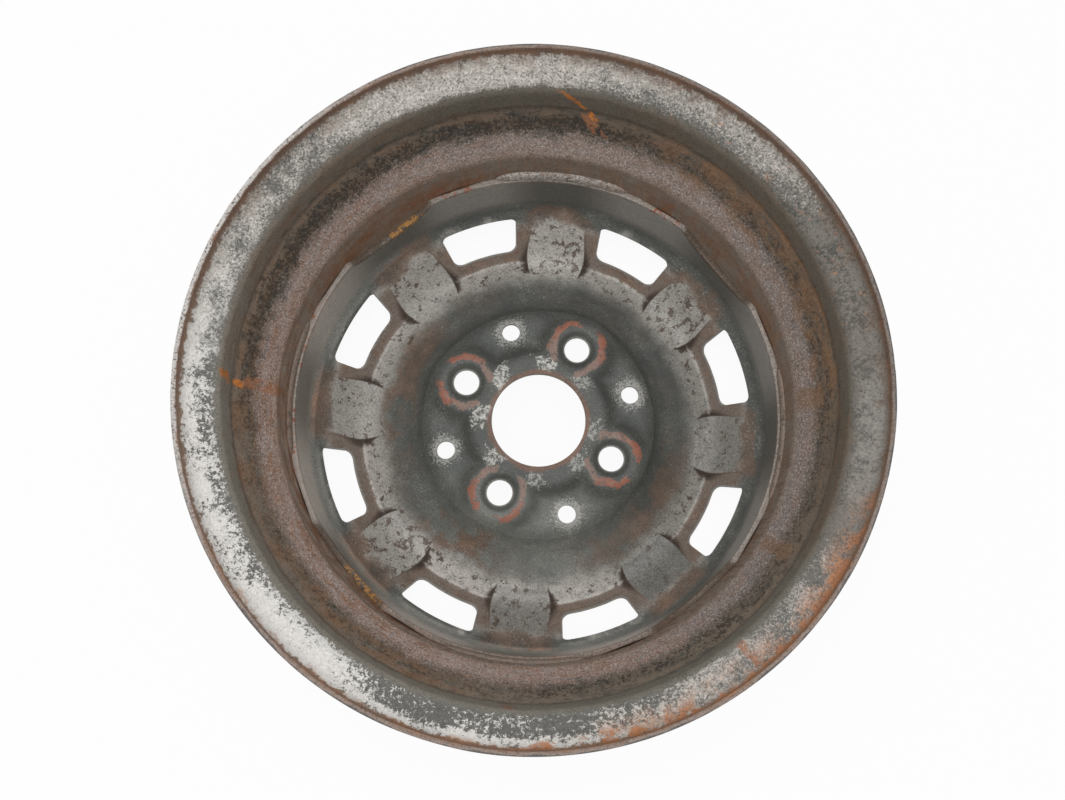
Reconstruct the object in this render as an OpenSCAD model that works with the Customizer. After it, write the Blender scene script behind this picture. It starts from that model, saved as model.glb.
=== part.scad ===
// Pressed steel car wheel: a rolled drop-centre rim with a vented disc welded inside it.
// The wheel axis is Z. The inboard side faces up and Z = 0 is the face that meets the hub.

/* [Rim] */
// Width between the two tyre flanges
rim_w = 139.7; // [130:0.1:150]
// Diameter of the tyre bead seat at the flange
seat_d = 329.4; // [325:0.1:335]
// Height of the tyre flange above the bead seat
flange_h = 17.5; // [15:0.1:20]
// Axial reach of each flange lip beyond the tyre width
flange_reach = 12; // [11:0.5:15]
// Radius of the flange curl on the tyre side
curl_r = 9.5; // [7:0.5:11]
// Thickness of the rim sheet
rim_t = 2.7; // [2:0.1:3.2]
// Axial length of each bead seat
seat_len = 20; // [17:0.5:22]
// Taper of the bead seats in degrees
seat_taper = 5; // [3:0.5:6]
// Radius of the bend between bead seat and flange
heel_r = 6; // [4:0.5:7]
// Depth of the drop well below the bead seat
well_depth = 19; // [17:0.5:21]
// Distance from the inboard flange to the start of the well floor
well_start = 47; // [42:0.5:52]
// Height of the outboard end of the well floor above the hub face
well_end = 1; // [-1:0.5:4]
// Radius of the bends at the well floor
well_r = 8; // [6:0.5:10]
// Diameter of the valve hole
valve_d = 11.5; // [11:0.1:13]

/* [Disc] */
// Offset of the hub face from the middle of the rim, outboard positive
offset_et = 38; // [33:0.5:41]
// Thickness of the disc sheet
disc_t = 3.5; // [3:0.1:4]
// Slope of the wall round the hub in degrees
hub_slope = 42; // [38:0.5:45]
// Slope of the dished ring in degrees
ring_slope = 24.5; // [23:0.5:25.5]
// Height of the skirt edge above the hub face
skirt_top = 33; // [28:0.5:38]
// Radius of the four scallops in the skirt edge
scallop_r = 40; // [34:1:44]
// Depth of each scallop below the skirt edge
scallop_depth = 15; // [10:0.5:18]
// Depth of the relief flats between skirt and well
flat_depth = 0.8; // [0.4:0.1:1.2]
// Angle of each relief flat from the middle of a skirt lobe
flat_angle = 26; // [24:0.5:27]

/* [Spokes and vents] */
// Width of each spoke at its middle
spoke_w = 31; // [28:0.5:33]
// Spread of the spoke sides in degrees
spoke_spread = 5.5; // [4:0.5:7]
// Draft of the spoke sides in degrees
spoke_draft = 25; // [20:1:30]
// Bend radius of the spokes where they turn up to the skirt
spoke_r = 20; // [15:0.5:21]
// Slope of the vent wall in degrees
vent_slope = 46.3; // [45:0.1:48]
// Length of a vent at its outer edge
vent_len_out = 50; // [44:0.5:52]
// Length of a vent at its inner edge
vent_len_in = 40; // [34:0.5:42]
// Height of a vent along the sloping wall
vent_h = 24.6; // [20:0.1:25.5]
// Corner radius at the outer edge of a vent
vent_r_out = 3.8; // [2:0.1:5]
// Corner radius at the inner edge of a vent
vent_r_in = 6; // [3:0.1:7]

/* [Hub] */
// Diameter of the centre bore
bore_d = 57.1; // [54:0.1:60]
// Bolt circle diameter
bolt_pcd = 100; // [98:0.5:102]
// Bolt hole diameter
bolt_d = 15.5; // [14:0.1:16]
// Diameter of the recess round each bolt hole on the hub side
recess_d = 26; // [23:0.5:27]
// Depth of the recess round each bolt hole
recess_depth = 2.2; // [1.5:0.1:2.5]
// Height of each bolt seat boss on the outboard side
boss_h = 4; // [3:0.1:5]
// Diameter of the raised contact land round the bore
land_d = 82; // [78:0.5:86]
// Diameter of the raised pad round each bolt hole
pad_d = 37; // [35:0.5:38]
// Depth of the bolt pads below the contact land
pad_drop = 0.3; // [0.2:0.1:0.6]
// Depth of the valleys between the pads
valley_depth = 8.5; // [7.5:0.1:9.5]
// Circle diameter of the four small holes
pin_pcd = 118.4; // [117:0.1:120]
// Diameter of the four small holes
pin_d = 11; // [9:0.1:12]

/* [Welds] */
// Half length of each weld bead in degrees
weld_half = 16; // [10:0.5:18]
// Height of each weld bead on the rim
weld_h = 6; // [4:0.5:7]

/* [Hidden] */
$fn = 96;
far = 400;
mid_z = offset_et;
in_z = mid_z + rim_w / 2;
out_z = mid_z - rim_w / 2;
seat_r = seat_d / 2;
lip_r = seat_r + flange_h;
seat_end_r = seat_r - seat_len * tan(seat_taper);
well_out_r = seat_r - well_depth;
well_in_r = well_out_r - rim_t;
seat_bend_r = 9;
well_top_z = in_z - well_start;
// The skirt sits tight inside the well, so both share one radius.
skirt_r = well_in_r;
skirt_in_r = skirt_r - disc_t;
// Four skirt lobes carry the welds, with two spokes and two vents to each lobe.
lobe_count = 4;
lobe_step = 360 / lobe_count;
vent_count = 2 * lobe_count;
vent_step = 360 / vent_count;
// Meeting point of the vent wall and the spoke wall, measured from the skirt.
wall_r = skirt_in_r - 5.6;
wall_z = -12.4;
spoke_slope = 40.5;
foot_r = 80;
foot_z = -21.1;
foot_bend_r = 18;
bend_step = 20;
skirt_bend_r = 12;
valley_bend_r = 10;
ring_gain = 2.5;
tab_r = 97;
corner_bend_r = 3;

// Height of the dished ring at a radius.
function ring_z(r) = foot_z - (r - foot_r) * tan(ring_slope);
// Height of the spoke wall at a radius.
function spoke_z(r) = wall_z + (r - wall_r) * tan(spoke_slope);
// Height of the vent wall at a radius.
function vent_z(r) = wall_z + (r - wall_r) * tan(vent_slope);
// Radius where two sloping lines meet, from a point on each and their gradients.
function meet_r(ra, za, ga, rb, zb, gb) = (zb - za + ga * ra - gb * rb) / (ga - gb);

function unit(v) = v / norm(v);
function cross2(a, b) = a[0] * b[1] - a[1] * b[0];
// Turn in degrees at the middle of three points, left turns positive.
function turn(a, b, c) = let (u = unit(b - a), v = unit(c - b)) atan2(cross2(u, v), u * v);
// Points of a round bend of radius r at the middle of three points.
function bend(a, b, c, r) =
    let (t = turn(a, b, c))
    let (u = unit(b - a))
    let (s = sign(t))
    let (start = b - u * r * tan(abs(t) / 2))
    let (centre = start + s * r * [-u[1], u[0]])
    let (steps = max(1, round(abs(t) / bend_step)))
    [for (i = [0 : steps]) let (w = t * i / steps, p = start - centre)
        centre + [p[0] * cos(w) - p[1] * sin(w), p[0] * sin(w) + p[1] * cos(w)]];
// Bent line through points given as [x, y, bend radius].
function bent(p) = let (n = len(p) - 1) concat(
    [[p[0][0], p[0][1]]],
    [for (i = [1 : n - 1])
        let (a = [p[i - 1][0], p[i - 1][1]], b = [p[i][0], p[i][1]], c = [p[i + 1][0], p[i + 1][1]])
        for (q = bend(a, b, c, p[i][2])) q],
    [[p[n][0], p[n][1]]]);
// Line moved sideways by d to its right, with bend radii that keep the sheet even.
function beside(p, d) = let (n = len(p) - 1) [for (i = [0 : n])
    let (a = i > 0 ? [p[i - 1][0], p[i - 1][1]] : [0, 0])
    let (b = [p[i][0], p[i][1]])
    let (c = i < n ? [p[i + 1][0], p[i + 1][1]] : [0, 0])
    let (u = i > 0 ? unit(b - a) : unit(c - b))
    let (v = i < n ? unit(c - b) : u)
    let (m = unit([u[1], -u[0]] + [v[1], -v[0]]))
    let (k = d / (m * [u[1], -u[0]]))
    let (t = (i > 0 && i < n) ? turn(a, b, c) : 0)
    [b[0] + m[0] * k, b[1] + m[1] * k, p[i][2] + sign(t) * d]];
function back(p) = [for (i = [len(p) - 1 : -1 : 0]) p[i]];

// Tyre side of the rim from the outboard lip to the inboard lip.
rim_line = [
    [lip_r, out_z - flange_reach, 0],
    [lip_r, out_z, curl_r],
    [seat_r, out_z, heel_r],
    [seat_end_r, out_z + seat_len, seat_bend_r],
    [well_out_r, well_end, well_r],
    [well_out_r, well_top_z, well_r],
    [seat_end_r, in_z - seat_len, seat_bend_r],
    [seat_r, in_z, heel_r],
    [lip_r, in_z, curl_r],
    [lip_r, in_z + flange_reach, 0]
];

// Hub side of the disc along a spoke, from the axis to above the skirt.
valley_r = foot_r + (valley_depth + foot_z) / tan(hub_slope);
knee_r = meet_r(foot_r, foot_z, -tan(ring_slope), wall_r, wall_z, tan(spoke_slope));
spoke_line = [
    [0, -valley_depth, 0],
    [valley_r, -valley_depth, valley_bend_r],
    [foot_r, foot_z, foot_bend_r],
    [knee_r, ring_z(knee_r), spoke_r],
    [skirt_in_r, spoke_z(skirt_in_r), skirt_bend_r],
    [skirt_in_r, far, 0]
];

// Hub side of a vent pocket, deeper than the spokes at the corner below the vent.
tab_slope = ring_slope + ring_gain;
corner_r = meet_r(tab_r, ring_z(tab_r), -tan(tab_slope), wall_r, wall_z, tan(vent_slope));
tab_margin = 8;
wall_margin = 1.2;
tab_in_r = tab_r - tab_margin;
wall_out_r = wall_r + wall_margin;
pocket_line = [
    [tab_in_r, ring_z(tab_r) - (tab_in_r - tab_r) * tan(tab_slope), 0],
    [corner_r, vent_z(corner_r), corner_bend_r],
    [wall_out_r, vent_z(wall_out_r), 0]
];
lid_in = [8, 6];
lid_out = [4, 12];
pocket_lid = [
    [wall_out_r - lid_in[0], vent_z(wall_out_r) + lid_in[1]],
    [tab_in_r + lid_out[0], ring_z(tab_r) + lid_out[1]]
];

// Plane of a spoke's side: its height above the knee, its tilt along the spoke and its extent.
side_rise = 9;
side_tilt = 22;
side_reach = 120;

module side_space(grow) {
    translate([knee_r, spoke_w / 2, ring_z(knee_r) + side_rise])
        rotate([spoke_draft, -side_tilt, spoke_spread])
            translate([-side_reach, -grow, -side_reach])
                cube([2 * side_reach, side_reach, 2 * side_reach]);
}

// Space between the sides of two neighbouring spokes.
module pocket_space(grow) {
    intersection() {
        side_space(grow);
        rotate([0, 0, vent_step])
            mirror([0, 1, 0])
                side_space(grow);
    }
}

module pockets(line, lid, grow) {
    for (i = [0 : vent_count - 1])
        rotate([0, 0, i * vent_step])
            intersection() {
                rotate_extrude()
                    polygon(concat(bent(line), lid));
                pocket_space(grow);
            }
}

// Round contact land and four bolt pads; inset follows the sheet to its outboard face.
land_draft = 35;
pad_draft = 29;
pad_low = 24;
module raised(inset) {
    land_top = land_d / 2 + inset * (tan(land_draft) - 1 / cos(land_draft));
    land_low = valley_depth + disc_t + 1;
    translate([0, 0, -land_low])
        cylinder(h = land_low - inset, r1 = land_top + (land_low - inset) * tan(land_draft), r2 = land_top);
    pad_top = pad_d / 2 + inset * (tan(pad_draft) - 1 / cos(pad_draft));
    at_bolts()
        translate([0, 0, -pad_drop - pad_low])
            cylinder(h = pad_low - inset, r1 = pad_top + (pad_low - inset) * tan(pad_draft), r2 = pad_top);
}

bolt_first = -vent_step / 2;
module at_bolts() {
    for (i = [0 : lobe_count - 1])
        rotate([0, 0, bolt_first + i * lobe_step])
            translate([bolt_pcd / 2, 0, 0])
                children();
}

// Everything on the hub side of the pressed sheet.
module hub_side() {
    difference() {
        union() {
            rotate_extrude()
                polygon(concat(bent(spoke_line), [[0, far]]));
            pockets(pocket_line, pocket_lid, 0);
        }
        raised(0);
    }
}

// The same space taken through the sheet to its outboard face.
module outboard_side() {
    difference() {
        union() {
            rotate_extrude()
                polygon(concat(bent(beside(spoke_line, disc_t)), [[0, far]]));
            pockets(beside(pocket_line, disc_t), pocket_lid, disc_t);
        }
        raised(disc_t);
    }
}

// Vent outline with its long edges following the wheel and its corners rounded.
vent_edge = 0.96;
vent_cut = 22;
vent_cut_low = 12;
vent_mid_r = wall_r - vent_edge - vent_h / 2 * cos(vent_slope);
vent_arc_r = vent_mid_r / cos(vent_slope);
function vent_arc(r, half, steps) = [for (i = [0 : steps])
    let (y = -half + 2 * half * i / steps)
    [sqrt(r * r - y * y) - vent_arc_r, y]];
module vent_shape() {
    r_out = vent_arc_r + vent_h / 2;
    r_in = vent_arc_r - vent_h / 2;
    half_out = vent_len_out / 2;
    half_in = vent_len_in / 2;
    x_out = sqrt(r_out * r_out - half_out * half_out) - vent_arc_r;
    x_in = sqrt(r_in * r_in - half_in * half_in) - vent_arc_r;
    near_out = vent_arc(r_out, half_out - 2 * vent_r_out, 4);
    near_in = vent_arc(r_in, half_in - 2 * vent_r_in, 4);
    polygon(concat(
        near_out,
        bend(near_out[4], [x_out, half_out], [x_in, half_in], vent_r_out),
        bend([x_out, half_out], [x_in, half_in], near_in[4], vent_r_in),
        back(near_in),
        bend(near_in[0], [x_in, -half_in], [x_out, -half_out], vent_r_in),
        bend([x_in, -half_in], [x_out, -half_out], near_out[0], vent_r_out)));
}

module vents() {
    for (i = [0 : vent_count - 1])
        rotate([0, 0, (i + 0.5) * vent_step])
            translate([vent_mid_r, 0, vent_z(vent_mid_r)])
                rotate([0, -vent_slope, 0])
                    translate([0, 0, -vent_cut_low])
                        linear_extrude(height = vent_cut)
                            vent_shape();
}

// Bolt holes: recess on the hub side, straight throat, tapered seat on the outboard side.
seat_angle = 30;
throat_len = 1.8;
module bolt_holes() {
    low = disc_t + boss_h;
    rise = 1;
    flare = (recess_d - bolt_d) / recess_depth;
    seat_h = low + rise - recess_depth - throat_len;
    at_bolts()
        translate([0, 0, -pad_drop]) {
            translate([0, 0, -low - rise])
                cylinder(h = low + 2 * rise, d = bolt_d);
            translate([0, 0, -recess_depth])
                cylinder(h = recess_depth + rise, d1 = bolt_d, d2 = recess_d + rise * flare);
            translate([0, 0, -low - rise])
                cylinder(h = seat_h, d1 = bolt_d + 2 * seat_h * tan(seat_angle), d2 = bolt_d);
        }
}

boss_low_r = 13.5;
boss_top_r = 16;
module bolt_bosses() {
    at_bolts()
        translate([0, 0, -pad_drop - disc_t - boss_h])
            cylinder(h = boss_h + disc_t / 2, r1 = boss_low_r, r2 = boss_top_r);
}

module small_holes() {
    for (i = [0 : lobe_count - 1])
        rotate([0, 0, vent_step / 2 + i * lobe_step])
            translate([pin_pcd / 2, 0, -valley_depth - 3 * disc_t])
                cylinder(h = 6 * disc_t, d = pin_d);
}

scallop_cut = 40;
module scallops() {
    for (i = [0 : lobe_count - 1])
        rotate([0, 0, (i + 0.5) * lobe_step])
            translate([skirt_in_r - scallop_cut / 2, 0, skirt_top - scallop_depth + scallop_r])
                rotate([0, 90, 0])
                    cylinder(h = scallop_cut, r = scallop_r);
}

// Flats on the outer face of the skirt, each cut by a block as long as the flat.
flat_low = 14;
flat_cut = [10, 60, 60];
module relief_flats() {
    for (i = [0 : lobe_count - 1])
        for (s = [-1, 1])
            rotate([0, 0, i * lobe_step + s * flat_angle])
                translate([skirt_r - flat_depth, -flat_cut[1] / 2, skirt_top - flat_low])
                    cube(flat_cut);
}

module rim() {
    color([0.42, 0.37, 0.34])
        difference() {
            rotate_extrude()
                polygon(concat(bent(rim_line), back(bent(beside(rim_line, -rim_t)))));
            valve_hole();
        }
}

// Valve hole square to the outboard slope of the well, in line with a vent.
valve_cut = 14;
valve_cut_low = 8;
module valve_hole() {
    hole_r = (seat_end_r + well_out_r) / 2;
    hole_z = (out_z + seat_len + well_end) / 2;
    slope = atan2(seat_end_r - well_out_r, well_end - out_z - seat_len);
    rotate([0, 0, vent_step / 2])
        translate([hole_r, 0, hole_z])
            rotate([0, 90 - slope, 0])
                translate([0, 0, -valve_cut_low])
                    cylinder(h = valve_cut, d = valve_d);
}

module disc() {
    color([0.33, 0.34, 0.33])
        difference() {
            union() {
                intersection() {
                    difference() {
                        outboard_side();
                        hub_side();
                    }
                    translate([0, 0, -far])
                        cylinder(h = far + skirt_top, r = skirt_r + 1);
                }
                bolt_bosses();
            }
            cylinder(h = far, d = bore_d, center = true);
            bolt_holes();
            small_holes();
            vents();
            scallops();
            relief_flats();
        }
}

// Weld beads lie in the corner between the skirt edge and the well.
bead_foot = 3;
// Section of a bead, as shares of its foot and its height.
bead_line = [[1, 0], [0, 0], [0, 1], [0.45, 0.86], [0.85, 0.5]];
module weld_beads() {
    color([0.6, 0.6, 0.58])
        for (i = [0 : lobe_count - 1])
            rotate([0, 0, i * lobe_step - weld_half])
                rotate_extrude(angle = 2 * weld_half)
                    polygon([for (p = bead_line) [skirt_r - p[0] * bead_foot, skirt_top + p[1] * weld_h]]);
}

rim();
disc();
weld_beads();
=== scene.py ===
import functools
import math

import bpy
import numpy as np
from mathutils import Matrix, Vector


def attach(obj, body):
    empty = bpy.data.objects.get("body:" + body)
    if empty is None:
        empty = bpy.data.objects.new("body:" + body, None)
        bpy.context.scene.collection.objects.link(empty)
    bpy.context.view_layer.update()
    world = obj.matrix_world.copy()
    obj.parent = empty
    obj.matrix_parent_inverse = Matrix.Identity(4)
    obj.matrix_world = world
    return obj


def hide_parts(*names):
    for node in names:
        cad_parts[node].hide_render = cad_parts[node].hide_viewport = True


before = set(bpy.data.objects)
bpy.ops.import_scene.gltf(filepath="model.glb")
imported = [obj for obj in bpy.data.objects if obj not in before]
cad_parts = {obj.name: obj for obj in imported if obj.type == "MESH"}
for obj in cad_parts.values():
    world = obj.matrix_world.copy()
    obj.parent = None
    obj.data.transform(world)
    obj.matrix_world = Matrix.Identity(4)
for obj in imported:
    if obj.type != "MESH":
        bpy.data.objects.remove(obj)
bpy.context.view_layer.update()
print("frame loaded")

mm = 0.001
quarter, spokePitch = 90.0, 45.0  # degrees from hole to hole and from spoke to spoke
halfPitch = spokePitch / 2
away = 99.0  # a height out of the way
scene = bpy.context.scene


class settings(dict):
    # a dictionary whose values can also be read as names
    __getattr__ = dict.__getitem__


# lines and grids, all in millimetres
def unit(v):
    return v / np.linalg.norm(v)


def tanDeg(a):
    return math.tan(math.radians(a))


def spin(deg, axis="Z", size=4):
    return Matrix.Rotation(math.radians(deg), size, axis)


def offFrom(t, first, pitch):
    # degrees from the nearest of the angles that follow the first by whole pitches
    return (np.degrees(t) - first + pitch / 2) % pitch - pitch / 2


def turnAt(a, b, c):
    u, v = unit(b - a), unit(c - b)
    return math.atan2(u[0] * v[1] - u[1] * v[0], float(u @ v))


def bentLine(corners, stepDeg):
    # corners hold x, y and the radius of the bend there
    p = [np.array(c[:2], float) for c in corners]
    line = [p[0]]
    for i in range(1, len(p) - 1):
        turn = turnAt(p[i - 1], p[i], p[i + 1])
        radius = corners[i][2]
        if abs(turn) < 1e-4 or radius <= 0:
            line.append(p[i])
            continue
        u = unit(p[i] - p[i - 1])
        start = p[i] - u * radius * math.tan(abs(turn) / 2)
        centre = start + math.copysign(radius, turn) * np.array([-u[1], u[0]])
        x, y = start - centre
        steps = max(1, math.ceil(abs(math.degrees(turn)) / stepDeg))
        for k in range(steps + 1):
            c, s = math.cos(turn * k / steps), math.sin(turn * k / steps)
            line.append(centre + [x * c - y * s, x * s + y * c])
    line.append(p[-1])
    return np.array(line)


def besideLine(corners, d):
    # the same line moved to its right by d, bends kept concentric
    p = [np.array(c[:2], float) for c in corners]
    moved = []
    for i in range(len(p)):
        u = unit(p[i] - p[i - 1]) if i > 0 else unit(p[1] - p[0])
        v = unit(p[i + 1] - p[i]) if i < len(p) - 1 else u
        side = np.array([u[1], -u[0]])
        m = unit(side + [v[1], -v[0]])
        turn = turnAt(p[i - 1], p[i], p[i + 1]) if 0 < i < len(p) - 1 else 0.0
        q = p[i] + m * d / float(m @ side)
        moved.append((q[0], q[1], corners[i][2] + np.sign(turn) * d))
    return moved


def evenLine(line, longest):
    # long straight runs get points between
    out = [line[0]]
    for a, b in zip(line, line[1:]):
        n = max(1, math.ceil(np.linalg.norm(b - a) / longest))
        out += [a + (b - a) * k / n for k in range(1, n + 1)]
    return np.array(out)


def runs(marks, counts):
    # values from mark to mark, each run with its own count
    parts = zip(marks, marks[1:], counts)
    return np.concatenate([np.linspace(a, b, n, endpoint=False) for a, b, n in parts])


def circle(radius, sides):
    turns = np.linspace(0, 2 * math.pi, sides, endpoint=False)
    return [(radius * math.cos(a), radius * math.sin(a)) for a in turns]


def addMesh(name, verts, faces):
    mesh = bpy.data.meshes.new(name)
    mesh.from_pydata(verts, [], faces)
    mesh.update()
    obj = bpy.data.objects.new(name, mesh)
    scene.collection.objects.link(obj)
    return obj


def ringMesh(name, x, y, z):
    # rows and columns both close on themselves
    rows, cols = x.shape
    verts = np.stack([x, y, z], -1).reshape(-1, 3) * mm
    i = np.arange(rows * cols).reshape(rows, cols)
    j = np.roll(i, -1, 0)
    faces = np.stack([i, np.roll(i, -1, 1), np.roll(j, -1, 1), j], -1).reshape(-1, 4)
    return addMesh(name, verts.tolist(), faces.tolist())


def prism(outline, low, high, place):
    # closed prism over an outline, as vertices and faces ready to join
    n = len(outline)
    pts = [place @ Vector((p[0], p[1], h)) for h in (low, high) for p in outline]
    faces = [tuple(range(n - 1, -1, -1)), tuple(range(n, 2 * n))]
    faces += [(k, (k + 1) % n, n + (k + 1) % n, n + k) for k in range(n)]
    return pts, faces


def cutHoles(obj, prisms):
    # one joined cutter takes all holes out of a piece
    verts, faces = [], []
    for pts, fs in prisms:
        faces += [tuple(k + len(verts) for k in f) for f in fs]
        verts += [p * mm for p in pts]
    cutter = addMesh("cutter", verts, faces)
    cut = obj.modifiers.new("holes", "BOOLEAN")
    cut.object, cut.operation, cut.solver = cutter, "DIFFERENCE", "EXACT"
    graph = bpy.context.evaluated_depsgraph_get()
    done = bpy.data.meshes.new_from_object(obj.evaluated_get(graph))
    obj.modifiers.remove(cut)
    obj.data = done
    done.name = obj.name
    bpy.data.objects.remove(cutter)


def smoothShade(obj, sharpDeg):
    obj.data.shade_smooth()
    obj.data.set_sharp_from_angle(angle=math.radians(sharpDeg))


def setMask(obj, name, values):
    layer = obj.data.attributes.new(name, "FLOAT", "POINT")
    layer.data.foreach_set("value", np.asarray(values, np.float32))


def points(obj):
    co = np.empty(len(obj.data.vertices) * 3)
    obj.data.vertices.foreach_get("co", co)
    return co.reshape(-1, 3) / mm


def ease(a, b, x):
    t = np.clip((x - a) / (b - a), 0, 1)
    return t * t * (3 - 2 * t)


def softMax(a, b, k):
    h = np.clip(k - np.abs(a - b), 0, None) / k
    return np.maximum(a, b) + h * h * k / 4


def softMin(a, b, k):
    return -softMax(-a, -b, k)


def rolled(x, w):
    # flat, then a slope, with a round turn of half width w between them
    return np.where(x < -w, 0, np.where(x > w, x, (x + w) ** 2 / (4 * w)))


def waves(x, y, z, size, seed):
    # gentle unevenness from a few crossing waves
    count = 7
    rng = np.random.default_rng(seed)
    total = 0
    for _ in range(count):
        d = unit(rng.normal(size=3)) * 2 * math.pi / (size * (0.6 + 0.8 * rng.random()))
        total = total + np.sin(d[0] * x + d[1] * y + d[2] * z + rng.random() * 6.28)
    return total / count


# rim, a rolled ring of sheet
rimShape = settings(
    seatR=164.7, lipR=182.2, reach=12.0, curlR=9.5, thick=2.7,
    inZ=107.85, outZ=-31.85, seatLen=20.0, taper=5.0, heelR=6.0, seatBend=9.0,
    wellR=145.7, wellTop=60.85, wellEnd=1.0, wellBend=8.0,
    valveR=5.75, valveTurn=22.5, valveSides=40, valveReach=(-8.0, 6.0),
    columns=400, fineStep=7.0, coarseStep=15.0, run=5.0, sharp=42.0,
    lipRound=0.7, lipCut=0.3, lipFace=1.0, maskStep=1.0,
    wear=0.28, wearFrom=8.0, wearSize=14.0, wearSeed=3, wave=0.22, waveSize=70.0, waveSeed=5,
)


def buildRim(s):
    seatEnd = s.seatR - s.seatLen * tanDeg(s.taper)
    inSeatZ, outSeatZ = s.inZ - s.seatLen, s.outZ + s.seatLen
    inLipZ, outLipZ = s.inZ + s.reach, s.outZ - s.reach
    tyreSide = [
        (s.lipR, outLipZ, 0), (s.lipR, s.outZ, s.curlR), (s.seatR, s.outZ, s.heelR),
        (seatEnd, outSeatZ, s.seatBend), (s.wellR, s.wellEnd, s.wellBend),
        (s.wellR, s.wellTop, s.wellBend), (seatEnd, inSeatZ, s.seatBend),
        (s.seatR, s.inZ, s.heelR), (s.lipR, s.inZ, s.curlR), (s.lipR, inLipZ, 0),
    ]
    outer = evenLine(bentLine(tyreSide, s.coarseStep), 2 * s.run)
    inner = evenLine(bentLine(besideLine(tyreSide, -s.thick), s.fineStep), s.run)[::-1]
    # rounded cut edges at both lips
    edge, cut = s.lipRound, s.lipCut

    def lipEdge(a, b, up):
        d, drop = unit(b - a) * edge, np.array([0, -up * edge])
        return [a + d * cut + drop * cut, a + d, b - d, b - d * cut + drop * cut]

    top = lipEdge(outer[-1], inner[0], 1)
    low = lipEdge(inner[-1], outer[0], -1)
    for line, end, side in ((outer, -1, -1), (inner, 0, -1), (inner, -1, 1), (outer, 0, 1)):
        line[end] += [0, side * edge]
    loop = np.array(list(outer) + top + list(inner) + low)
    turn = np.linspace(0, 2 * math.pi, s.columns, endpoint=False)
    r = np.repeat(loop[:, :1], len(turn), 1)
    z = np.repeat(loop[:, 1:], len(turn), 1)
    t = np.repeat(turn[None, :], len(loop), 0)
    # the lips are worn, the sheet is a little wavy
    lip = ease(s.inZ + s.wearFrom, inLipZ, z) + ease(s.outZ - s.wearFrom, outLipZ, z)
    x, y = r * np.cos(t), r * np.sin(t)
    z = z - np.sign(z) * lip * s.wear * (0.5 + waves(x, y, z * 0, s.wearSize, s.wearSeed))
    r = r + s.wave * waves(x, y, z, s.waveSize, s.waveSeed)
    obj = ringMesh("rim", r * np.cos(t), r * np.sin(t), z)

    # valve hole, square to the outboard slope of the well
    middle = ((seatEnd + s.wellR) / 2, 0, (outSeatZ + s.wellEnd) / 2)
    slope = math.degrees(math.atan2(seatEnd - s.wellR, s.wellEnd - outSeatZ))
    place = spin(s.valveTurn) @ Matrix.Translation(middle) @ spin(90 - slope, "Y")
    cutHoles(obj, [prism(circle(s.valveR, s.valveSides), *s.valveReach, place)])
    smoothShade(obj, s.sharp)

    # masks: length in mm along the section from the edge of the nearer lip, and the tyre side
    p = points(obj)
    pr = np.hypot(p[:, 0], p[:, 1])

    def nearest(line):
        # distance from the line, and the length along it to its nearer end
        line = evenLine(line, s.maskStep)
        gap = np.full(len(p), np.inf)
        at = np.zeros(len(p))
        length = np.concatenate([[0], np.cumsum(np.linalg.norm(np.diff(line, axis=0), axis=1))])
        for k in range(len(line)):
            d = np.hypot(pr - line[k, 0], p[:, 2] - line[k, 1])
            hit = d < gap
            gap[hit] = d[hit]
            at[hit] = length[k]
        return gap, np.minimum(at, length[-1] - at)

    gapIn, alongIn = nearest(inner)
    gapOut, alongOut = nearest(outer)
    inside = gapIn < gapOut
    along = np.where(inside, alongIn + s.thick, alongOut)
    lipFace = (p[:, 2] > inLipZ - s.lipFace) | (p[:, 2] < outLipZ + s.lipFace)
    setMask(obj, "along", np.where(lipFace, s.lipR - pr, along))
    setMask(obj, "tyreSide", (~inside & ~lipFace).astype(float))
    return obj


rim = buildRim(rimShape)
print("rim", len(rim.data.polygons), "faces")


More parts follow.
